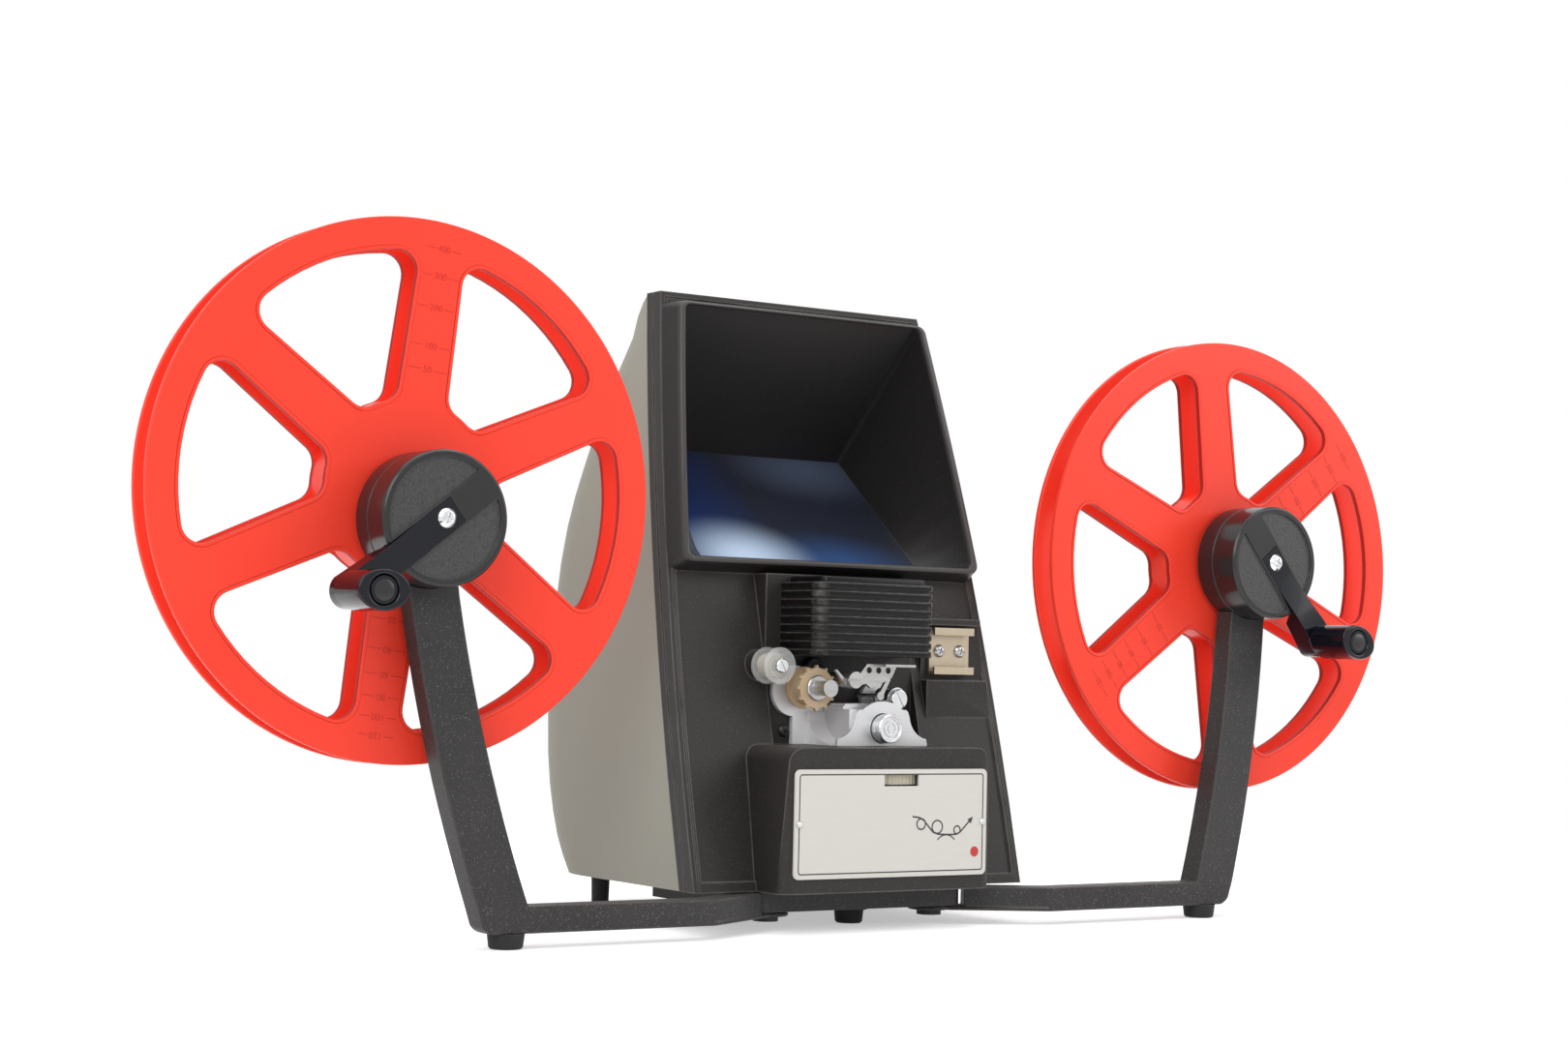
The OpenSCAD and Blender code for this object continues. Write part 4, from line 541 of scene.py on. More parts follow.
# The rim and its mouth, and the rings of the hood: from the screen out along the
# funnel, round the rim and back along the outside
rim_low, rim_high = HOOD_Z[0] + 3.0, HOOD_Z[1] - 0.2
mouth_low, mouth_high = rim_low + 2.3, rim_high - 1.4
rings = [
    screen_ring(0.0),
    panel_ring(mouth_low, mouth_high, 2.4, lambda z: rim_half(z) - RIM_W, -HOOD_REACH + 2.4),
    panel_ring(mouth_low - 0.2, mouth_high + 0.15, 2.5, lambda z: rim_half(z) - RIM_W + 0.2,
        -HOOD_REACH + 0.6),
    panel_ring(mouth_low - 0.8, mouth_high + 0.5, 2.8, lambda z: rim_half(z) - RIM_W + 0.8, -HOOD_REACH),
    panel_ring(rim_low + 1.1, rim_high - 0.6, 3.0, lambda z: rim_half(z) - 1.1, -HOOD_REACH),
    panel_ring(rim_low + 0.3, rim_high - 0.2, 3.4, lambda z: rim_half(z) - 0.3, -HOOD_REACH + 0.4),
    panel_ring(rim_low, rim_high, 3.6, rim_half, -HOOD_REACH + 1.2),
    panel_ring(HOOD_Z[0] + 0.1, HOOD_Z[1], 4.0, lambda z: side_x(z) - 0.5, -0.3),
    panel_ring(HOOD_Z[0], HOOD_Z[1], 4.0, lambda z: side_x(z) - 0.3, 0.0),
    panel_ring(mouth_low - 1.6, mouth_high + 0.6, 2.8, lambda z: rim_half(z) - RIM_W + 0.6, 0.0),
    screen_ring(SHELL),
]
hood_work = bmesh.new()
skin_over(hood_work, [[hood_work.verts.new(p) for p in ring] for ring in rings], back_to_first=True)
hood_mesh = shaped("moulded_hood", hood_work)
hood_plastic = surface("hood_plastic", paint(38, 36, 36), paint(28, 27, 27), (0.32, 0.46),
    grain={"Grain": 2800.0}, relief=0.000012, rub={"Amount": 0.3}, rubbed_to=paint(120, 114, 110),
    specks=0.08, specular=0.34)

# The foremost part of the rim is paler, a painted highlight: fully at the first reach, no more at the
# second
RIM_SHEEN_REACH, RIM_SHEEN_COLOUR = (7.8, 6.2), paint(64, 61, 60)
hood_links, hood_nodes = hood_plastic.node_tree.links, hood_plastic.node_tree.nodes
hood_place, behind_front = add_nodes(hood_nodes, "TexCoord", "VectorMath")
behind_front.operation = "DOT_PRODUCT"
hood_links.new(hood_place.outputs["Object"], behind_front.inputs[0])
lean = math.radians(FRONT_LEAN)
behind_front.inputs[1].default_value = (0.0, math.cos(lean), -math.sin(lean))
front_depth = place(0, front_y(0), 0).y * math.cos(lean)
sheen_full, sheen_gone = (front_depth - reach / 1000 for reach in RIM_SHEEN_REACH)
rim_sheen = ranged(hood_plastic, behind_front.outputs["Value"], 1.0, 0.0, sheen_full, sheen_gone)
painted_over(hood_plastic, rim_sheen, RIM_SHEEN_COLOUR)
moulded_hood = stand("moulded_hood", hood_mesh, "housing", hood_plastic, sharp=42)
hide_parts("hood")
finish(hood_plastic, "screen_frame")

# Painted light on the screen: the tint is deepest at the left, a painted glow, and pools of
# painted reflection lie over it. Pools give the middle, the reach, the stretch across
# and the colour of a faint one at the back, a deep one in front and a pale one beside it.
PAINTED_GLOW_FROM, PAINTED_GLOW_TO = (-50, (26, 52, 112)), (-8, (38, 41, 54))
PAINTED_POOLS = [((28, 100, 172), 0.030, 1.5, (84, 94, 116)), ((12, 47, 129.6), 0.027, 1.7, (52, 82, 130)),
    ((-29, 50, 133), 0.028, 1.3, (200, 222, 246))]
screen_tint_and_reflections = surface("screen_tint_and_reflections", paint(40, 58, 92), paint(34, 40, 62), (0.16, 0.24),
    grain={"Grain": 3000.0, "Drift": 12.0}, relief=0.000004, specular=0.4)
tint_links, tint_nodes = screen_tint_and_reflections.node_tree.links, screen_tint_and_reflections.node_tree.nodes
tint_place = tint_nodes.new("ShaderNodeTexCoord").outputs["Object"]


def pool(at, reach, stretched):
    """A pool of painted reflection: full at one spot of the screen, gone at its reach, and stretched
    across.
    """
    apart, wide, far_off = add_nodes(tint_nodes, "VectorMath", "VectorMath", "VectorMath")
    fade = tint_nodes.new("ShaderNodeMapRange")
    apart.operation, wide.operation, far_off.operation = "SUBTRACT", "MULTIPLY", "LENGTH"
    apart.inputs[1].default_value = at
    wide.inputs[1].default_value = (1 / stretched, 1.0, 1.0)
    fade.interpolation_type = "SMOOTHSTEP"
    for label, value in (("From Min", 0.0), ("From Max", reach), ("To Min", 1.0), ("To Max", 0.0)):
        fade.inputs[label].default_value = value
    tint_links.new(tint_place, apart.inputs[0])
    tint_links.new(apart.outputs[0], wide.inputs[0])
    tint_links.new(wide.outputs[0], far_off.inputs[0])
    tint_links.new(far_off.outputs["Value"], fade.inputs["Value"])
    return fade.outputs["Result"]


tint_axes = tint_nodes.new("ShaderNodeSeparateXYZ")
tint_links.new(tint_place, tint_axes.inputs[0])
glow_left, glow_right = (place(x, 0, 0).x for x, colour in (PAINTED_GLOW_FROM, PAINTED_GLOW_TO))
from_left = ranged(screen_tint_and_reflections, tint_axes.outputs["X"], 0.0, 1.0, glow_left, glow_right)
painted_sheet = mixed(screen_tint_and_reflections, from_left, paint(*PAINTED_GLOW_FROM[1]), paint(*PAINTED_GLOW_TO[1]))
for at, reach, stretched, colour in PAINTED_POOLS:
    reflected = pool(place(*at), reach, stretched)
    painted_sheet = mixed(screen_tint_and_reflections, reflected, painted_sheet, paint(*colour))
tint_links.new(painted_sheet, tint_nodes["Principled BSDF"].inputs["Base Color"])
finish(screen_tint_and_reflections, "screen")


# ---- Name plate ----
# A pale anodised aluminium plate, pinned to the block at both ends and printed with a
# border line, a red dot and a plain drawing of the film's way. The knurled edge of the
# ivory focus wheel shows in its top window.
PLATE_FACE_Y = -5.0
PLATE_HALF_W, PLATE_Z = 41.8, (19.4, 57.4)
BORDER_INSET, BORDER_CORNER, PRINT_W = 1.8, 1.0, 0.45
INK_LIFT, TIP_LIFT, OVER_LIFT = 0.02, 0.025, 0.03
WAY_W, ROLLER_W = PRINT_W + 0.15, PRINT_W + 0.1
FILM_WAY = [(8.5, 40.6), (11.7, 40.2), (13.6, 39.2), (15.7, 37.0), (17.8, 34.9),
    (20.0, 34.2), (23.6, 34.0), (28.1, 34.0), (30.0, 34.9), (35.0, 39.6)]
ARROWHEAD = [(0.7, 0.7), (-1.9, -0.3), (-0.3, -1.9)]
ROLLERS_DRAWN = [(12.4, 37.9, 1.9), (19.6, 36.8, 2.3), (28.5, 35.6, 1.4)]
GATE_DRAWN = (23.6, 29.0, 4.9)
DOT = (36.5, 27.7, 1.85)


def printed(work, points, width, closed=False, lift=INK_LIFT):
    """A flat line of ink along the given points, so far off the plate."""
    sides = []
    for i, (x, z) in enumerate(points):
        before = points[i - 1] if i or closed else (x, z)
        after = points[(i + 1) % len(points)] if i + 1 < len(points) or closed else (x, z)
        along = Vector((after[0] - before[0], after[1] - before[1])).normalized()
        sides.append([work.verts.new(place(x - along.y * s, PLATE_FACE_Y - lift, z + along.x * s))
            for s in (-width / 2, width / 2)])
    pairs = list(zip(sides, sides[1:] + sides[:1] if closed else sides[1:]))
    for here, after in pairs:
        work.faces.new((here[0], after[0], after[1], here[1]))


def ink_piece(name, work, mat):
    piece = stand(name, shaped(name, work), "housing", mat)


# Hairlines: the fine straight scratches of drawn, turned or polished metal
hair, hair_in, hair_out = effect("hairlines",
    [("Along X", 30.0), ("Along Y", 900.0), ("Along Z", 30.0)], ["Height"])
spread, stretch = add_nodes(hair.nodes, "CombineXYZ", "VectorMath")
for i, label in enumerate(("Along X", "Along Y", "Along Z")):
    hair.links.new(hair_in.outputs[label], spread.inputs[i])
stretch.operation = "MULTIPLY"
hair.links.new(on_piece(hair), stretch.inputs[0])
hair.links.new(spread.outputs[0], stretch.inputs[1])
hair.links.new(blotches(hair, stretch.outputs[0], 1.0, 4.0, 0.65), hair_out.inputs["Height"])


def brushed(x, y, z):
    """Hairlines, so many to the metre along each axis."""
    return {"texture": hair, "grain": {"Along_X": x, "Along_Y": y, "Along_Z": z}}


plate_finish = surface("plate_finish", paint(212, 209, 203), paint(203, 200, 193), (0.4, 0.48),
    **brushed(60.0, 1500.0, 1800.0), relief=0.000003, specular=0.4)
pin_steel = surface("pin_steel", (0.62, 0.62, 0.62, 1), (0.5, 0.5, 0.5, 1), (0.25, 0.4),
    **brushed(400.0, 400.0, 400.0), metallic=1.0, relief=0.000003)
wheel_ivory = surface("wheel_ivory", paint(206, 198, 178), paint(176, 166, 146), (0.4, 0.55))
plate_ink = surface("plate_ink", paint(52, 50, 50), paint(38, 36, 36), (0.4, 0.5), relief=0.000004)
dot_red = surface("dot_red", paint(196, 52, 48), paint(176, 40, 38), (0.35, 0.45), relief=0.000004)
eased(plate_finish, 0.15, "name_plate")
finish(pin_steel, "plate_pins")
finish(wheel_ivory, "focus_wheel")

border, edge_x = bmesh.new(), PLATE_HALF_W - BORDER_INSET - BORDER_CORNER
low, high = PLATE_Z[0] + BORDER_INSET + BORDER_CORNER, PLATE_Z[1] - BORDER_INSET - BORDER_CORNER
loop = []
for x, z, start in ((edge_x, high, 0), (-edge_x, high, 90), (-edge_x, low, 180), (edge_x, low, 270)):
    loop += around(x, z, BORDER_CORNER, start, start + 90, 6)
printed(border, loop, PRINT_W, closed=True)
ink_piece("plate_border", border, plate_ink)

# The arrowhead is printed over the film's way, and the rollers and the gate over both
way = bmesh.new()
printed(way, FILM_WAY, WAY_W)
tip_x, tip_z = FILM_WAY[-1]
way.faces.new([way.verts.new(place(tip_x + x, PLATE_FACE_Y - TIP_LIFT, tip_z + z)) for x, z in ARROWHEAD])
for x, z, r in ROLLERS_DRAWN:
    printed(way, around(x, z, r), ROLLER_W, closed=True, lift=OVER_LIFT)
printed(way, around(*GATE_DRAWN, 39, 141, 12), PRINT_W, lift=OVER_LIFT)
ink_piece("film_way_drawing", way, plate_ink)
dot = bmesh.new()
dot.faces.new([dot.verts.new(place(x, PLATE_FACE_Y - INK_LIFT, z)) for x, z in around(*DOT, steps=48)])
ink_piece("plate_dot", dot, dot_red)


# ---- Optics ----
# Two silvered glass mirrors on a bent aluminium bracket turn the picture from the lens
# back and up to the screen. The lens sits in a black barrel, which slides in a sleeve
# under the shelf when the focus wheel turns.
lens_black = surface("lens_black", paint(34, 33, 33), paint(24, 24, 24), (0.3, 0.45))
pressed_aluminium = surface("pressed_aluminium", (0.72, 0.72, 0.73, 1), (0.63, 0.63, 0.64, 1),
    (0.26, 0.38), **brushed(50.0, 400.0, 1500.0), metallic=0.45, relief=0.000004)
mirror_face = surface("mirror_face", (0.86, 0.87, 0.88, 1), (0.82, 0.83, 0.84, 1), (0.03, 0.06),
    metallic=1.0, relief=0.000001)
finish(lens_black, "lens_sleeve", "lens_barrel")
finish(pressed_aluminium, "optics_bracket")
finish(mirror_face, "lower_mirror", "rear_mirror")


# ---- Lamp house ----
# A small cap over the gate, cast in aluminium with nine rounded ribs that shed the heat
# of the bulb in its brass socket. Its glossy black enamel carries a painted highlight: a
# thin pale line along each rib.
LAMP_X, LAMP_Y, LAMP_Z, LAMP_R = (-25.0, 27.8), (8.0, 32.3), (97.0, 124.0), 5.0
RIBS, RIB_PITCH, RIB_T, RIB_GROOVE = 9, 3.0, 2.4, 0.8
LAMP_AXIS, LAMP_BORE, LAMP_ROOF = (3.6, 21.0), 9.0, 2.0
# How far a rib, and the lid on the topmost one, is set in at each height
RIB_PROFILE = [(RIB_GROOVE, 0.0), (0.28, 0.05), (0.08, 0.25), (0.0, 0.6), (0.0, RIB_T - 0.6),
    (0.08, RIB_T - 0.25), (0.28, RIB_T - 0.05), (RIB_GROOVE, RIB_T)]
LID_PROFILE = [(0.0, 0.0), (0.0, 1.4), (0.12, 1.75), (0.5, 2.1)]
LID_STEP, LID_R = (4.0, 3.0, 2.2), 3.0


def lamp_ring(work, z, inset, corner=LAMP_R, step=(0.0, 0.0, 0.0)):
    """The outline round the lamp house at one height, set in by so much. step sets the
    left, right and front further in."""
    x0, x1 = LAMP_X[0] + inset + step[0], LAMP_X[1] - inset - step[1]
    y0, r = LAMP_Y[0] + inset + step[2], corner - inset * 0.5
    points = around(x0 + r, y0 + r, r, 180, 270, 6) + around(x1 - r, y0 + r, r, 270, 360, 6)
    return [work.verts.new(place(x, y, z)) for x, y in points + [(x1, LAMP_Y[1]), (x0, LAMP_Y[1])]]


def edges_of(work, loop):
    """The edges round a closed loop of points."""
    return [work.edges.get((loop[i - 1], loop[i])) for i in range(len(loop))]


rib_work = bmesh.new()
levels = []
for i in range(RIBS):
    rib_foot = LAMP_Z[0] + i * RIB_PITCH
    levels += [lamp_ring(rib_work, rib_foot + up, inset) for inset, up in RIB_PROFILE]
lid_foot = LAMP_Z[1] - RIB_PITCH + RIB_T
levels += [lamp_ring(rib_work, lid_foot + up, inset, LID_R, LID_STEP) for inset, up in LID_PROFILE]
skin_over(rib_work, levels)
rib_work.faces.new(levels[-1])
bore = [[rib_work.verts.new(place(x, y, z)) for x, y in around(*LAMP_AXIS, LAMP_BORE, steps=48)]
    for z in (LAMP_Z[0], LAMP_Z[1] - LAMP_ROOF)]
skin_over(rib_work, bore)
rib_work.faces.new(bore[1])
brim = edges_of(rib_work, levels[0]) + edges_of(rib_work, bore[0])
bmesh.ops.triangle_fill(rib_work, use_beauty=True, use_dissolve=False, edges=brim)
rib_mesh = shaped("ribbed_lamp_house", rib_work)
lamp_black = surface("lamp_black", paint(20, 19, 19), paint(14, 14, 14), (0.2, 0.3),
    grain={"Grain": 2200.0}, relief=0.000006, rub={"Amount": 0.7, "Reach": 0.00035, "Patch": 30.0},
    rubbed_to=paint(128, 124, 120), specular=0.2)

# Painted highlights on the ribs: a thin pale line near the top of each rib, and a pale
# front left corner, both broken up by patches
SHINE_PATCH, SHINE_FROM, SHINE_GAIN = 260.0, 0.3, 2.6
CORNER_IN, CORNER_GAIN = 0.6, 1.1
rib_shine, rib_shine_in, rib_shine_out = effect("rib_painted_highlights",
    [("Foot", LAMP_Z[0] / 1000), ("Pitch", RIB_PITCH / 1000), ("Line", (RIB_T - 0.3) / RIB_PITCH),
    ("Width", 0.08), ("Corner", 0.0046)], ["Mask"])
shine_axes, flat_place, from_corner = add_nodes(rib_shine.nodes, "SeparateXYZ", "CombineXYZ", "VectorMath")
rib_shine.links.new(on_piece(rib_shine), shine_axes.inputs[0])
rib_count = maths(rib_shine, "SUBTRACT", shine_axes.outputs["Z"], rib_shine_in.outputs["Foot"])
rib_count = maths(rib_shine, "DIVIDE", rib_count, rib_shine_in.outputs["Pitch"])
off_line = maths(rib_shine, "SUBTRACT", maths(rib_shine, "FRACT", rib_count, 0.0), rib_shine_in.outputs["Line"])
off_line = maths(rib_shine, "DIVIDE", maths(rib_shine, "ABSOLUTE", off_line, 0.0), rib_shine_in.outputs["Width"])
on_line = maths(rib_shine, "SUBTRACT", 1.0, off_line, True)
broken = maths(rib_shine, "SUBTRACT", blotches(rib_shine, on_piece(rib_shine), SHINE_PATCH, 4.0, 0.7), SHINE_FROM)
broken = maths(rib_shine, "MULTIPLY", broken, SHINE_GAIN, True)
for axis in "XY":
    rib_shine.links.new(shine_axes.outputs[axis], flat_place.inputs[axis])
from_corner.operation = "DISTANCE"
from_corner.inputs[1].default_value = place(LAMP_X[0] + CORNER_IN, LAMP_Y[0] + CORNER_IN, 0)
rib_shine.links.new(flat_place.outputs[0], from_corner.inputs[0])
off_corner = maths(rib_shine, "DIVIDE", from_corner.outputs["Value"], rib_shine_in.outputs["Corner"])
on_corner = maths(rib_shine, "MULTIPLY", maths(rib_shine, "SUBTRACT", 1.0, off_corner, True), CORNER_GAIN, True)
shine_mask = maths(rib_shine, "MULTIPLY", maths(rib_shine, "MAXIMUM", on_line, on_corner), broken, True)
rib_shine.links.new(shine_mask, rib_shine_out.inputs["Mask"])
rib_black_highlit = lamp_black.copy()
rib_black_highlit.name = "rib_black_highlit"
painted_over(rib_black_highlit, place_effect(rib_black_highlit, rib_shine).outputs["Mask"], paint(98, 95, 92))
socket_brass = surface("socket_brass", (0.62, 0.46, 0.2, 1), (0.5, 0.36, 0.15, 1), (0.25, 0.4),
    texture=hair, metallic=1.0)
bulb_glass = surface("bulb_glass", (0.85, 0.86, 0.86, 1), (0.8, 0.81, 0.81, 1), (0.05, 0.12),
    clear=0.6)
ribbed_lamp_house = stand("ribbed_lamp_house", rib_mesh, "housing", rib_black_highlit, sharp=50)
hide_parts("lamp_house")
finish(socket_brass, "lamp_socket")
finish(bulb_glass, "lamp_bulb")


# ---- Film gate ----
# Pressed aluminium plates on the housing's pad, bright steel studs and a tan moulded
# sprocket carry the film past the turning prism. The clear bobbin on the left takes the
# film in over an ivory core.
GUIDE, GUIDE_Y, GUIDE_R = (-33.9, 93.1), (18.0, 27.2), 6.6
CORE_R, GUIDE_BORE = 4.4, 2.1
CLEAR_IOR = 1.2
BUTTON, BUTTON_Y, BUTTON_R = (6.8, 71.3), (6.4, 12.6), 5.2
BUTTON_RINGS = (1.6, 3.2)
PAD_Y = 32.3
PAD_BOSS, BOSS_R = (-11.4, 92.5), 4.0
TURNED_STEPS = 64


def lathe(name, x, z, profile, body, mat, slot):
    """A turned piece whose axis runs front to back, from its (radius, y) outline. An
    outline that starts off the axis comes back to where it starts."""
    work = bmesh.new()
    rounds = []
    for k in range(TURNED_STEPS):
        a = 2 * math.pi * k / TURNED_STEPS
        rounds.append([work.verts.new(place(x + r * math.cos(a), y, z + r * math.sin(a)))
            for r, y in profile])
    skin_over(work, rounds, back_to_first=True, closed=profile[0][0] > 0)
    bmesh.ops.remove_doubles(work, verts=work.verts, dist=1e-7)
    piece = stand(name, shaped(name, work), body, mat)
    return piece


bright_chrome = surface("bright_chrome", (0.76, 0.77, 0.78, 1), (0.62, 0.63, 0.64, 1), (0.14, 0.28),
    **brushed(200.0, 200.0, 200.0), metallic=1.0, relief=0.000002)
# A paler copy of the pressed aluminium for the film plate: painted light, standing in for the bright
# sheen of its curved sweep
sweep_aluminium_painted_bright = surface("sweep_aluminium_painted_bright", (0.92, 0.92, 0.93, 1), (0.8, 0.8, 0.81, 1), (0.26, 0.36),
    **brushed(40.0, 400.0, 1500.0), metallic=0.2, relief=0.000003)
lever_steel = surface("lever_steel", (0.55, 0.54, 0.53, 1), (0.34, 0.34, 0.34, 1), (0.22, 0.34),
    **brushed(90.0, 90.0, 700.0), metallic=0.9, relief=0.000003)
clear_bobbin = surface("clear_bobbin", (0.93, 0.93, 0.91, 1), (0.86, 0.86, 0.84, 1), (0.05, 0.1),
    relief=0.000001, clear=0.78)
clear_bobbin.node_tree.nodes["Principled BSDF"].inputs["IOR"].default_value = CLEAR_IOR
core_ivory = surface("core_ivory", paint(226, 220, 204), paint(196, 186, 164), (0.45, 0.6),
    glow=0.2)
sprocket_tan = surface("sprocket_tan", paint(236, 212, 178), paint(208, 180, 144), (0.24, 0.36),
    clear=0.3, glow=0.45)
zinc_plate = surface("zinc_plate", (0.5, 0.42, 0.31, 1), (0.4, 0.34, 0.25, 1), (0.32, 0.44),
    grain={"Grain": 900.0, "Drift": 160.0}, metallic=0.8, relief=0.000006)
prism_glass = surface("prism_glass", (0.75, 0.85, 0.9, 1), (0.7, 0.8, 0.86, 1), (0.03, 0.06),
    clear=0.7)
screw_black = surface("screw_black", paint(40, 39, 39), paint(28, 28, 28), (0.3, 0.45))
eased(pressed_aluminium, 0.12, "gate_bracket", "gate_block")
eased(sweep_aluminium_painted_bright, 0.12, "film_plate")
eased(lever_steel, 0.12, "pressure_lever", "lever_pin", "sprocket_shaft")
eased(bright_chrome, 0.1, "roller_studs", "exit_roller")
eased(sprocket_tan, 0.15, "sprocket")
finish(socket_brass, "prism_shaft")
finish(prism_glass, "prism")
eased(zinc_plate, 0.15, "splice_holder")
eased(lever_steel, 0.1, "holder_screws")
finish(screw_black, "case_screws", "cord_gland")

# The bobbin is turned hollow: its two flanges, its groove, and the seat of its core
front, back = GUIDE_Y
bobbin = lathe("guide_bobbin", *GUIDE, [
    (GUIDE_BORE, front), (GUIDE_R - 0.15, front), (GUIDE_R, front + 0.15), (GUIDE_R, front + 0.9),
    (GUIDE_R - 0.15, front + 1.05), (CORE_R + 0.15, front + 1.05), (CORE_R + 0.15, back - 1.05),
    (GUIDE_R - 0.15, back - 1.05), (GUIDE_R, back - 0.9), (GUIDE_R, back - 0.15),
    (GUIDE_R - 0.15, back), (CORE_R, back), (CORE_R, front + 0.8), (GUIDE_BORE, front + 0.8)],
    "guide", clear_bobbin, "clear")
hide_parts("guide_roller")
lathe("guide_core", *GUIDE, [
    (GUIDE_BORE, front + 3.2), (CORE_R - 0.5, front + 3.2), (CORE_R - 0.1, front + 3.6),
    (CORE_R - 0.1, back - 0.3), (GUIDE_BORE, back - 0.3)], "guide", core_ivory, "ivory")

# The button's face has two turned grooves, and one more runs round its side
face, back = BUTTON_Y
button_cap = [(0.0, 0.1)]
for r in BUTTON_RINGS:
    button_cap += [(r - 0.3, 0.1), (r - 0.2, 0.45), (r + 0.2, 0.45), (r + 0.3, 0.1)]
button_cap += [(4.2, 0.1), (4.3, 0.0), (BUTTON_R - 0.3, 0.0), (BUTTON_R, 0.3), (BUTTON_R, 3.0),
    (BUTTON_R - 0.15, 3.1), (BUTTON_R - 0.15, 3.4), (BUTTON_R, 3.5)]
button = lathe("marking_button", *BUTTON,
    [(r, face + y) for r, y in button_cap] + [(BUTTON_R, back), (0.0, back)],
    "button", bright_chrome, "chrome")
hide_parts("notch_button")
boss = [(0.0, 3.4), (1.0, 3.4), (1.2, 3.0), (2.2, 3.0), (2.4, 3.4), (3.4, 3.4), (BOSS_R, 2.8),
    (BOSS_R, 0.1), (0.0, 0.1)]
lathe("pad_boss", *PAD_BOSS, [(r, PAD_Y - y) for r, y in boss], "housing", lamp_black, "gloss_black")


# ---- Arms ----
# Two cast arms in dark speckled enamel swing out from under the housing on the pivot
# bolts. Each stands on a rubber foot and carries a gear case at its head.
arm_enamel = surface("arm_enamel", paint(60, 58, 58), paint(36, 35, 35), (0.44, 0.58),
    grain={"Grain": 3600.0, "Drift": 40.0}, relief=0.00003, rub={"Amount": 0.45, "Reach": 0.0007},
    rubbed_to=paint(150, 147, 142), specks=0.35, dust=0.1, specular=0.28)
for hand in ("left_", "right_"):
    eased(arm_enamel, 0.6, hand + "arm")
    finish(black_rubber, hand + "arm_foot")


# ---- Gear cases, drums and cranks ----
# Glossy black moulded drums turn on the fixed cases. A drum's face has two pebbled
# half-moons, and the lever is let into the bar between them and held by a bright screw.
# A knob turns on the lever's end, closed with a small cap.
AXIS_X, AXIS_Z = 180.0, 137.6
DRUM_FACE_Y, MOON_SUNK, MOON_R = -8.8, 0.8, 19.6
CRANK_ANGLES = {"left_": 218.0, "right_": 308.6}
CRANK_R, KNOB_END_Y, CAP_R = 39.0, -30.5, 4.3

# Leather skin: rounded pebbles with creases between them
PEBBLE_SHARE, CREASE_SHARE = 0.75, 0.25
hide, hide_in, hide_out = effect("leather_skin", [("Pebbles", 1500.0)], ["Height", "Tone"])
cells = hide.nodes.new("ShaderNodeTexVoronoi")
cells.feature = "SMOOTH_F1"
cells.inputs["Smoothness"].default_value = 0.6
hide.links.new(on_piece(hide), cells.inputs["Vector"])
hide.links.new(hide_in.outputs["Pebbles"], cells.inputs["Scale"])
pebble = maths(hide, "SUBTRACT", 1.0, cells.outputs["Distance"])
crease = blotches(hide, on_piece(hide), hide_in.outputs["Pebbles"], 2.0, 0.6)
hide_height = maths(hide, "ADD", maths(hide, "MULTIPLY", pebble, PEBBLE_SHARE),
    maths(hide, "MULTIPLY", crease, CREASE_SHARE))
hide.links.new(hide_height, hide_out.inputs["Height"])
hide.links.new(pebble, hide_out.inputs["Tone"])

drum_gloss = surface("drum_gloss", paint(41, 40, 41), paint(31, 30, 31), (0.18, 0.28),
    grain={"Grain": 2600.0}, relief=0.000004, rub={"Amount": 0.25}, rubbed_to=paint(120, 118, 116),
    specular=0.42)
drum_hide = surface("drum_hide", paint(66, 65, 64), paint(36, 35, 35), (0.36, 0.5), texture=hide,
    grain={"Pebbles": 1400.0}, relief=0.00012)
crank_gloss = surface("crank_gloss", paint(17, 19, 29), paint(12, 13, 19), (0.1, 0.18),
    grain={"Grain": 700.0, "Drift": 40.0}, relief=0.000003, coat=0.1, specular=0.26)
moon_y = place(0, DRUM_FACE_Y + MOON_SUNK, 0).y
CAP_PROFILE = [(0.0, 0.1), (1.6, 0.15), (3.0, 0.3), (CAP_R - 0.4, 0.6), (CAP_R, 1.0), (CAP_R, 1.1),
    (0.0, 1.1)]
for hand, side in (("left_", -1), ("right_", 1)):
    axis = place(side * AXIS_X, 0, AXIS_Z)
    eased(drum_gloss, 0.6, hand + "gear_case")
    eased(drum_gloss, 0.5, hand + "crank_drum", inlay=drum_hide, inlaid=lambda middle, normal:
        normal.y < -0.9 and abs(middle.y - moon_y) < 1e-4
        and math.hypot(middle.x - axis.x, middle.z - axis.z) < MOON_R / 1000)
    eased(crank_gloss, 0.5, hand + "crank_lever")
    eased(crank_gloss, 0.8, hand + "knob")
    eased(bright_chrome, 0.1, hand + "crank_screw")
    finish(bright_chrome, hand + "spindle")
    turn_by = math.radians(CRANK_ANGLES[hand])
    knob_x, knob_z = side * AXIS_X + CRANK_R * math.cos(turn_by), AXIS_Z + CRANK_R * math.sin(turn_by)
    lathe(hand + "knob_cap", knob_x, knob_z, [(r, KNOB_END_Y + y) for r, y in CAP_PROFILE],
        hand + "crank_body", drum_gloss, "gloss_black")


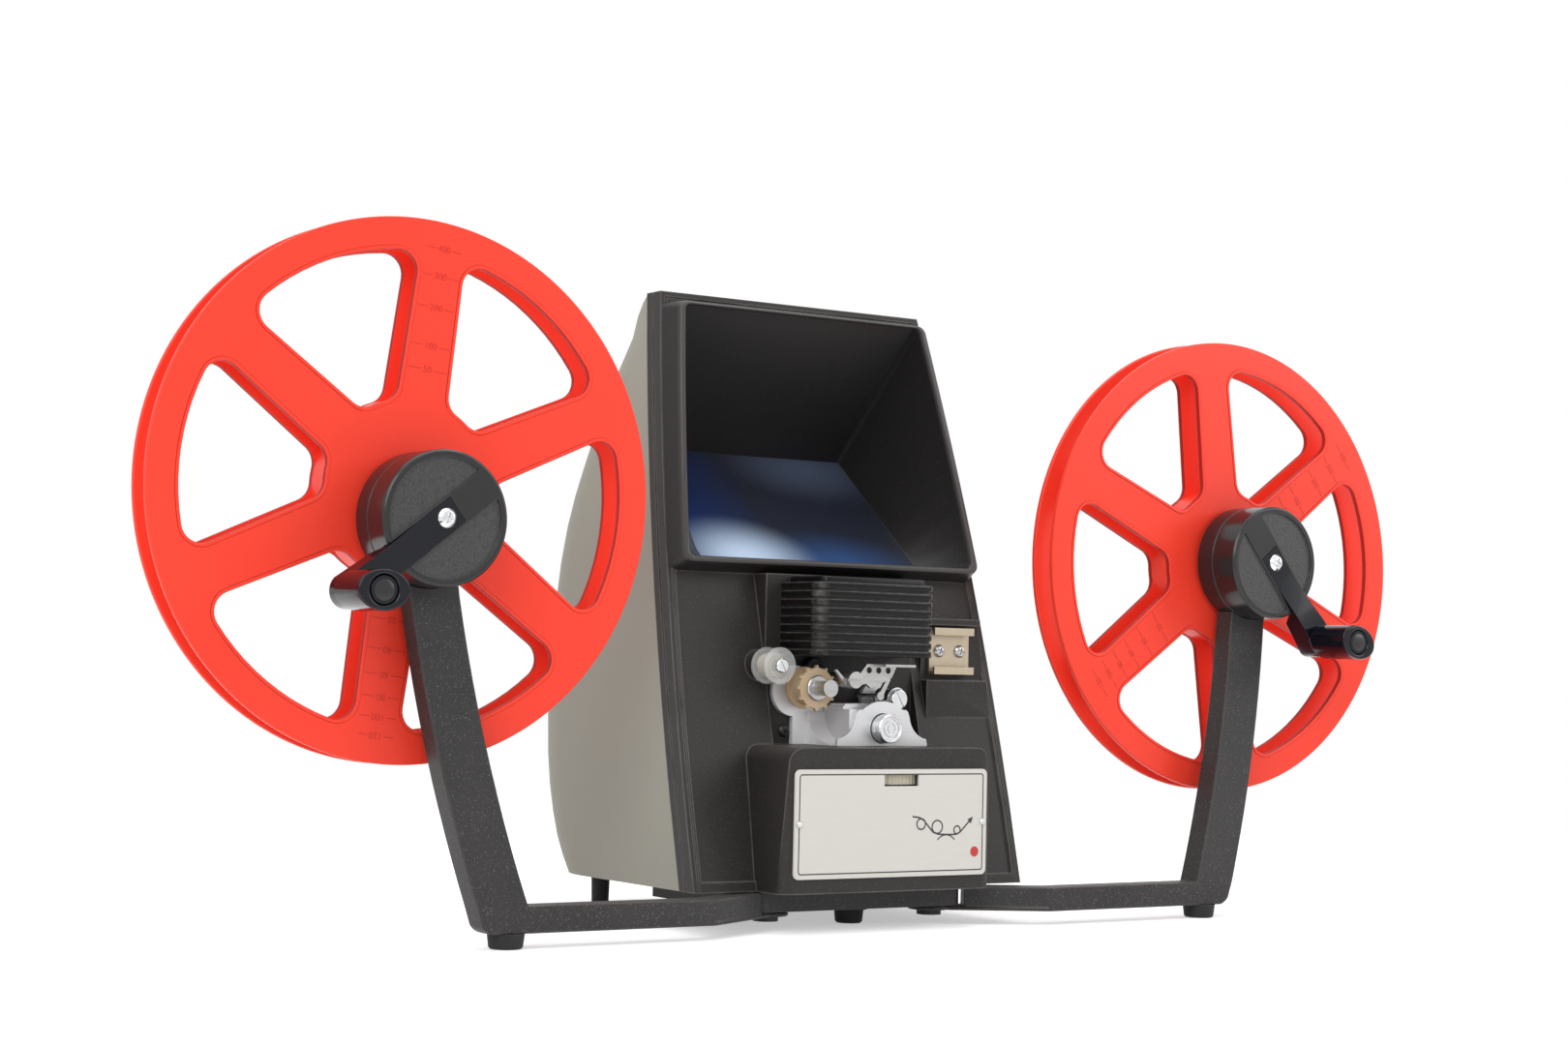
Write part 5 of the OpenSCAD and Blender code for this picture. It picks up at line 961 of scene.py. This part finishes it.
# ---- Reels ----
# Each reel is two red moulded flanges pressed together on a slotted core. Six windows
# lighten each flange, with a raised lip round them, and fine scales of length on two
# of the spokes show how much film is on.
REEL_CENTRE = {"left_": (-181.994, 147.399), "right_": (175.305, 136.602)}
FIRST_SPOKE = {"left_": 83.0, "right_": 96.3}
REEL_R, REEL_Y, REEL_T, FLANGE_T = 88.95, 14.2, 12.5, 2.0
CORE_OUT, CORE_WALL, WINDOW_OUT = 30.0, 2.0, 78.2
SPOKE_W, WINDOW_R = (18.5, 16.5), 6.5
HUB_R, HUB_BORE = 7.0, 4.0
CORE_SUNK, SLOT_W, SLOT_FROM_SPOKE = 0.2, 2.0, 20
FULL_R, FULL_FEET, FULL_METRES = 80.0, 400, 120
# A rounded edge and the lip round a window, as (back from the edge, down from the face)
FLANGE_EDGE = [(0.5, 0.0), (0.15, 0.15), (0.0, 0.5), (0.0, FLANGE_T - 0.5), (0.15, FLANGE_T - 0.15),
    (0.5, FLANGE_T)]
WINDOW_LIP = [(1.55, 0.0), (1.45, 0.14), (1.3, 0.14), (1.2, -0.12), (0.45, -0.16), (0.12, 0.02),
    (0.0, 0.35), (0.0, FLANGE_T - 0.4), (0.1, FLANGE_T - 0.1), (0.4, FLANGE_T)]


def spoke_half(r):
    share = (r - CORE_OUT) / (WINDOW_OUT - CORE_OUT)
    return (SPOKE_W[0] + (SPOKE_W[1] - SPOKE_W[0]) * share) / 2


def window_loop(grow):
    """The outline of a window beside the spoke at 0 degrees, widened by grow."""
    corners = [(q, math.degrees(math.asin((spoke_half(q) + WINDOW_R) / q)))
        for q in (WINDOW_OUT - WINDOW_R, CORE_OUT + WINDOW_R)]
    (q1, a1), (q0, a0) = corners
    at = [(q * math.cos(math.radians(a)), q * math.sin(math.radians(a)))
        for q, a in ((q1, a1), (q1, 60 - a1), (q0, 60 - a0), (q0, a0))]
    flank = math.degrees(math.atan2(at[0][1] - at[3][1], at[0][0] - at[3][0]))
    r = WINDOW_R + grow
    return (around(*at[0], r, flank - 90, a1, 8)
        + around(0, 0, WINDOW_OUT + grow, a1, 60 - a1, 10)[1:-1]
        + around(*at[1], r, 60 - a1, 150 - flank, 8) + around(*at[2], r, 150 - flank, 240 - a0, 8)
        + around(0, 0, CORE_OUT - grow, 60 - a0, a0, 6)[1:-1]
        + around(*at[3], r, a0 + 180, flank + 270, 8))


def turned_by(points, degrees):
    c, s = math.cos(math.radians(degrees)), math.sin(math.radians(degrees))
    return [(x * c - z * s, x * s + z * c) for x, z in points]


def flange(work, cx, cz, first, face_y, inward):
    """A pierced flange: its flat faces, and the rounded edges of rim, bore and windows."""
    contours = [[(around(0, 0, REEL_R - g, steps=160), d) for g, d in FLANGE_EDGE],
        [(around(0, 0, HUB_BORE + g, steps=40), d) for g, d in FLANGE_EDGE]]
    contours += [[(turned_by(window_loop(g), first + 60 * i), d) for g, d in WINDOW_LIP]
        for i in range(6)]
    ends = {0: [], -1: []}
    for contour in contours:
        loops = [[work.verts.new(place(cx + x, face_y + inward * d, cz + z)) for x, z in points]
            for points, d in contour]
        skin_over(work, loops)
        for end in ends:
            ends[end] += edges_of(work, loops[end])
    for edges in ends.values():
        bmesh.ops.triangle_fill(work, use_beauty=True, use_dissolve=False, edges=edges)


def core_tube(work, cx, cz, inner, outer, y0, y1, start, end, steps):
    """A tube between the flanges, open from end round to start."""
    walls = zip(*(around(cx, cz, r, start, end, steps) for r in (inner, outer)))
    ribs = [[work.verts.new(place(x, y, z)) for (x, z), y in ((p, y0), (q, y0), (q, y1), (p, y1))]
        for p, q in walls]
    skin_over(work, ribs)
    work.faces.new(ribs[0])
    work.faces.new(reversed(ribs[-1]))


NUMBER_SIZE, NUMBER_RAISED, NUMBER_GAP = 0.0031, 0.00006, 0.8
LINE_HALF_W, LINE_RAISED, LINE_SHORT = 0.15, 0.1, 1.9


def length_scale(work, cx, cz, spoke, face_y, lengths, most):
    """Raised lines across a spoke, each with the length of film that reaches it."""
    out = Vector((math.cos(math.radians(spoke)), math.sin(math.radians(spoke))))
    across = Vector((out.y, -out.x))
    for length in lengths:
        r = math.sqrt(CORE_OUT ** 2 + (FULL_R ** 2 - CORE_OUT ** 2) * length / most)
        lettering = bpy.data.curves.new("number", "FONT")
        lettering.body, lettering.size, lettering.extrude = str(length), NUMBER_SIZE, NUMBER_RAISED
        lettering.align_x, lettering.align_y = "CENTER", "CENTER"
        block = bpy.data.objects.new("number", lettering)
        mesh = bpy.data.meshes.new_from_object(block)
        gap = max(v.co.x for v in mesh.vertices) * 1000 + NUMBER_GAP
        number_at = place(cx + out.x * r, face_y - NUMBER_RAISED * 1000, cz + out.y * r)
        upright = Matrix(((across.x, out.x, 0), (0, 0, -1), (across.y, out.y, 0))).to_4x4()
        mesh.transform(Matrix.Translation(number_at) @ upright)
        work.from_mesh(mesh)
        bpy.data.objects.remove(block)
        for side in (-1, 1):
            ends = [(s * side, r + w) for s in (gap, spoke_half(r) - LINE_SHORT)
                for w in (-LINE_HALF_W, LINE_HALF_W)]
            box = [[work.verts.new(place(cx + across.x * s + out.x * q, y, cz + across.y * s + out.y * q))
                for s, q in ends] for y in (face_y, face_y - LINE_RAISED)]
            work.faces.new([box[1][i] for i in (0, 1, 3, 2)])
            for i, j in ((0, 1), (1, 3), (3, 2), (2, 0)):
                work.faces.new((box[0][i], box[0][j], box[1][j], box[1][i]))


def reel_piece(name, work, hand, mat, *nodes):
    """Stands a piece of a reel. A flange replaces its node, and its window walls take a darker red,
    painted shade.
    """
    mesh = shaped(name, work)
    piece = stand(name, mesh, hand + "reel_body", *([mat, window_shade_red] if nodes else [mat]), sharp=50)
    if nodes:
        middle = place(REEL_CENTRE[hand][0], 0, REEL_CENTRE[hand][1])
        for face in mesh.polygons:
            out = math.hypot(face.center.x - middle.x, face.center.z - middle.z) * 1000
            in_window = abs(face.normal.y) < 0.5 and CORE_OUT - 0.1 < out < WINDOW_OUT + 2
            face.material_index = 1 if in_window else 0
        even = piece.modifiers.new("even_shading", "WEIGHTED_NORMAL")
        even.keep_sharp = True
        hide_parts(*nodes)


reel_red = surface("reel_red", paint(250, 70, 50), paint(246, 61, 42), (0.32, 0.42),
    grain={"Grain": 1800.0, "Drift": 16.0}, relief=0.000006, rub={"Amount": 0.18},
    rubbed_to=paint(255, 120, 96), specular=0.28)
# Painted shade: the window walls take a darker red, where little light reaches in
window_shade_red = surface("window_shade_red", paint(184, 32, 24), paint(160, 26, 20), (0.4, 0.5),
    grain={"Grain": 1800.0, "Drift": 16.0}, relief=0.000006, specular=0.16)
# The raised scale marks take a darker red than the flange: painted shade that sets them off
scale_shade_red = surface("scale_shade_red", paint(216, 62, 48), paint(200, 52, 40), (0.3, 0.42), relief=0.000006,
    specular=0.3)
core_r, last_y = CORE_OUT - CORE_SUNK, REEL_Y + REEL_T
core_from, core_to = REEL_Y + FLANGE_T / 2, last_y - FLANGE_T
slot_half = math.degrees(SLOT_W / 2 / core_r)
for hand in ("left_", "right_"):
    (cx, cz), first = REEL_CENTRE[hand], FIRST_SPOKE[hand]
    work = bmesh.new()
    flange(work, cx, cz, first, REEL_Y, 1)
    core_tube(work, cx, cz, core_r - CORE_WALL, core_r, core_from, core_to,
        first - SLOT_FROM_SPOKE + slot_half, first + (360 - SLOT_FROM_SPOKE) - slot_half, 96)
    core_tube(work, cx, cz, HUB_BORE, HUB_R, core_from, core_to, 0, 359.9, 48)
    reel_piece(hand + "front_flange", work, hand, reel_red, hand + "reel_front")
    work = bmesh.new()
    flange(work, cx, cz, first, last_y, -1)
    reel_piece(hand + "rear_flange", work, hand, reel_red, hand + "reel_rear")
    upper = first if hand == "left_" else first - 60
    work = bmesh.new()
    length_scale(work, cx, cz, upper, REEL_Y, (50, 100, 200, 300, 400), FULL_FEET)
    length_scale(work, cx, cz, upper + 180, REEL_Y, (20, 40, 60, 80, 100, 120), FULL_METRES)
    reel_piece(hand + "reel_scale", work, hand, scale_shade_red)
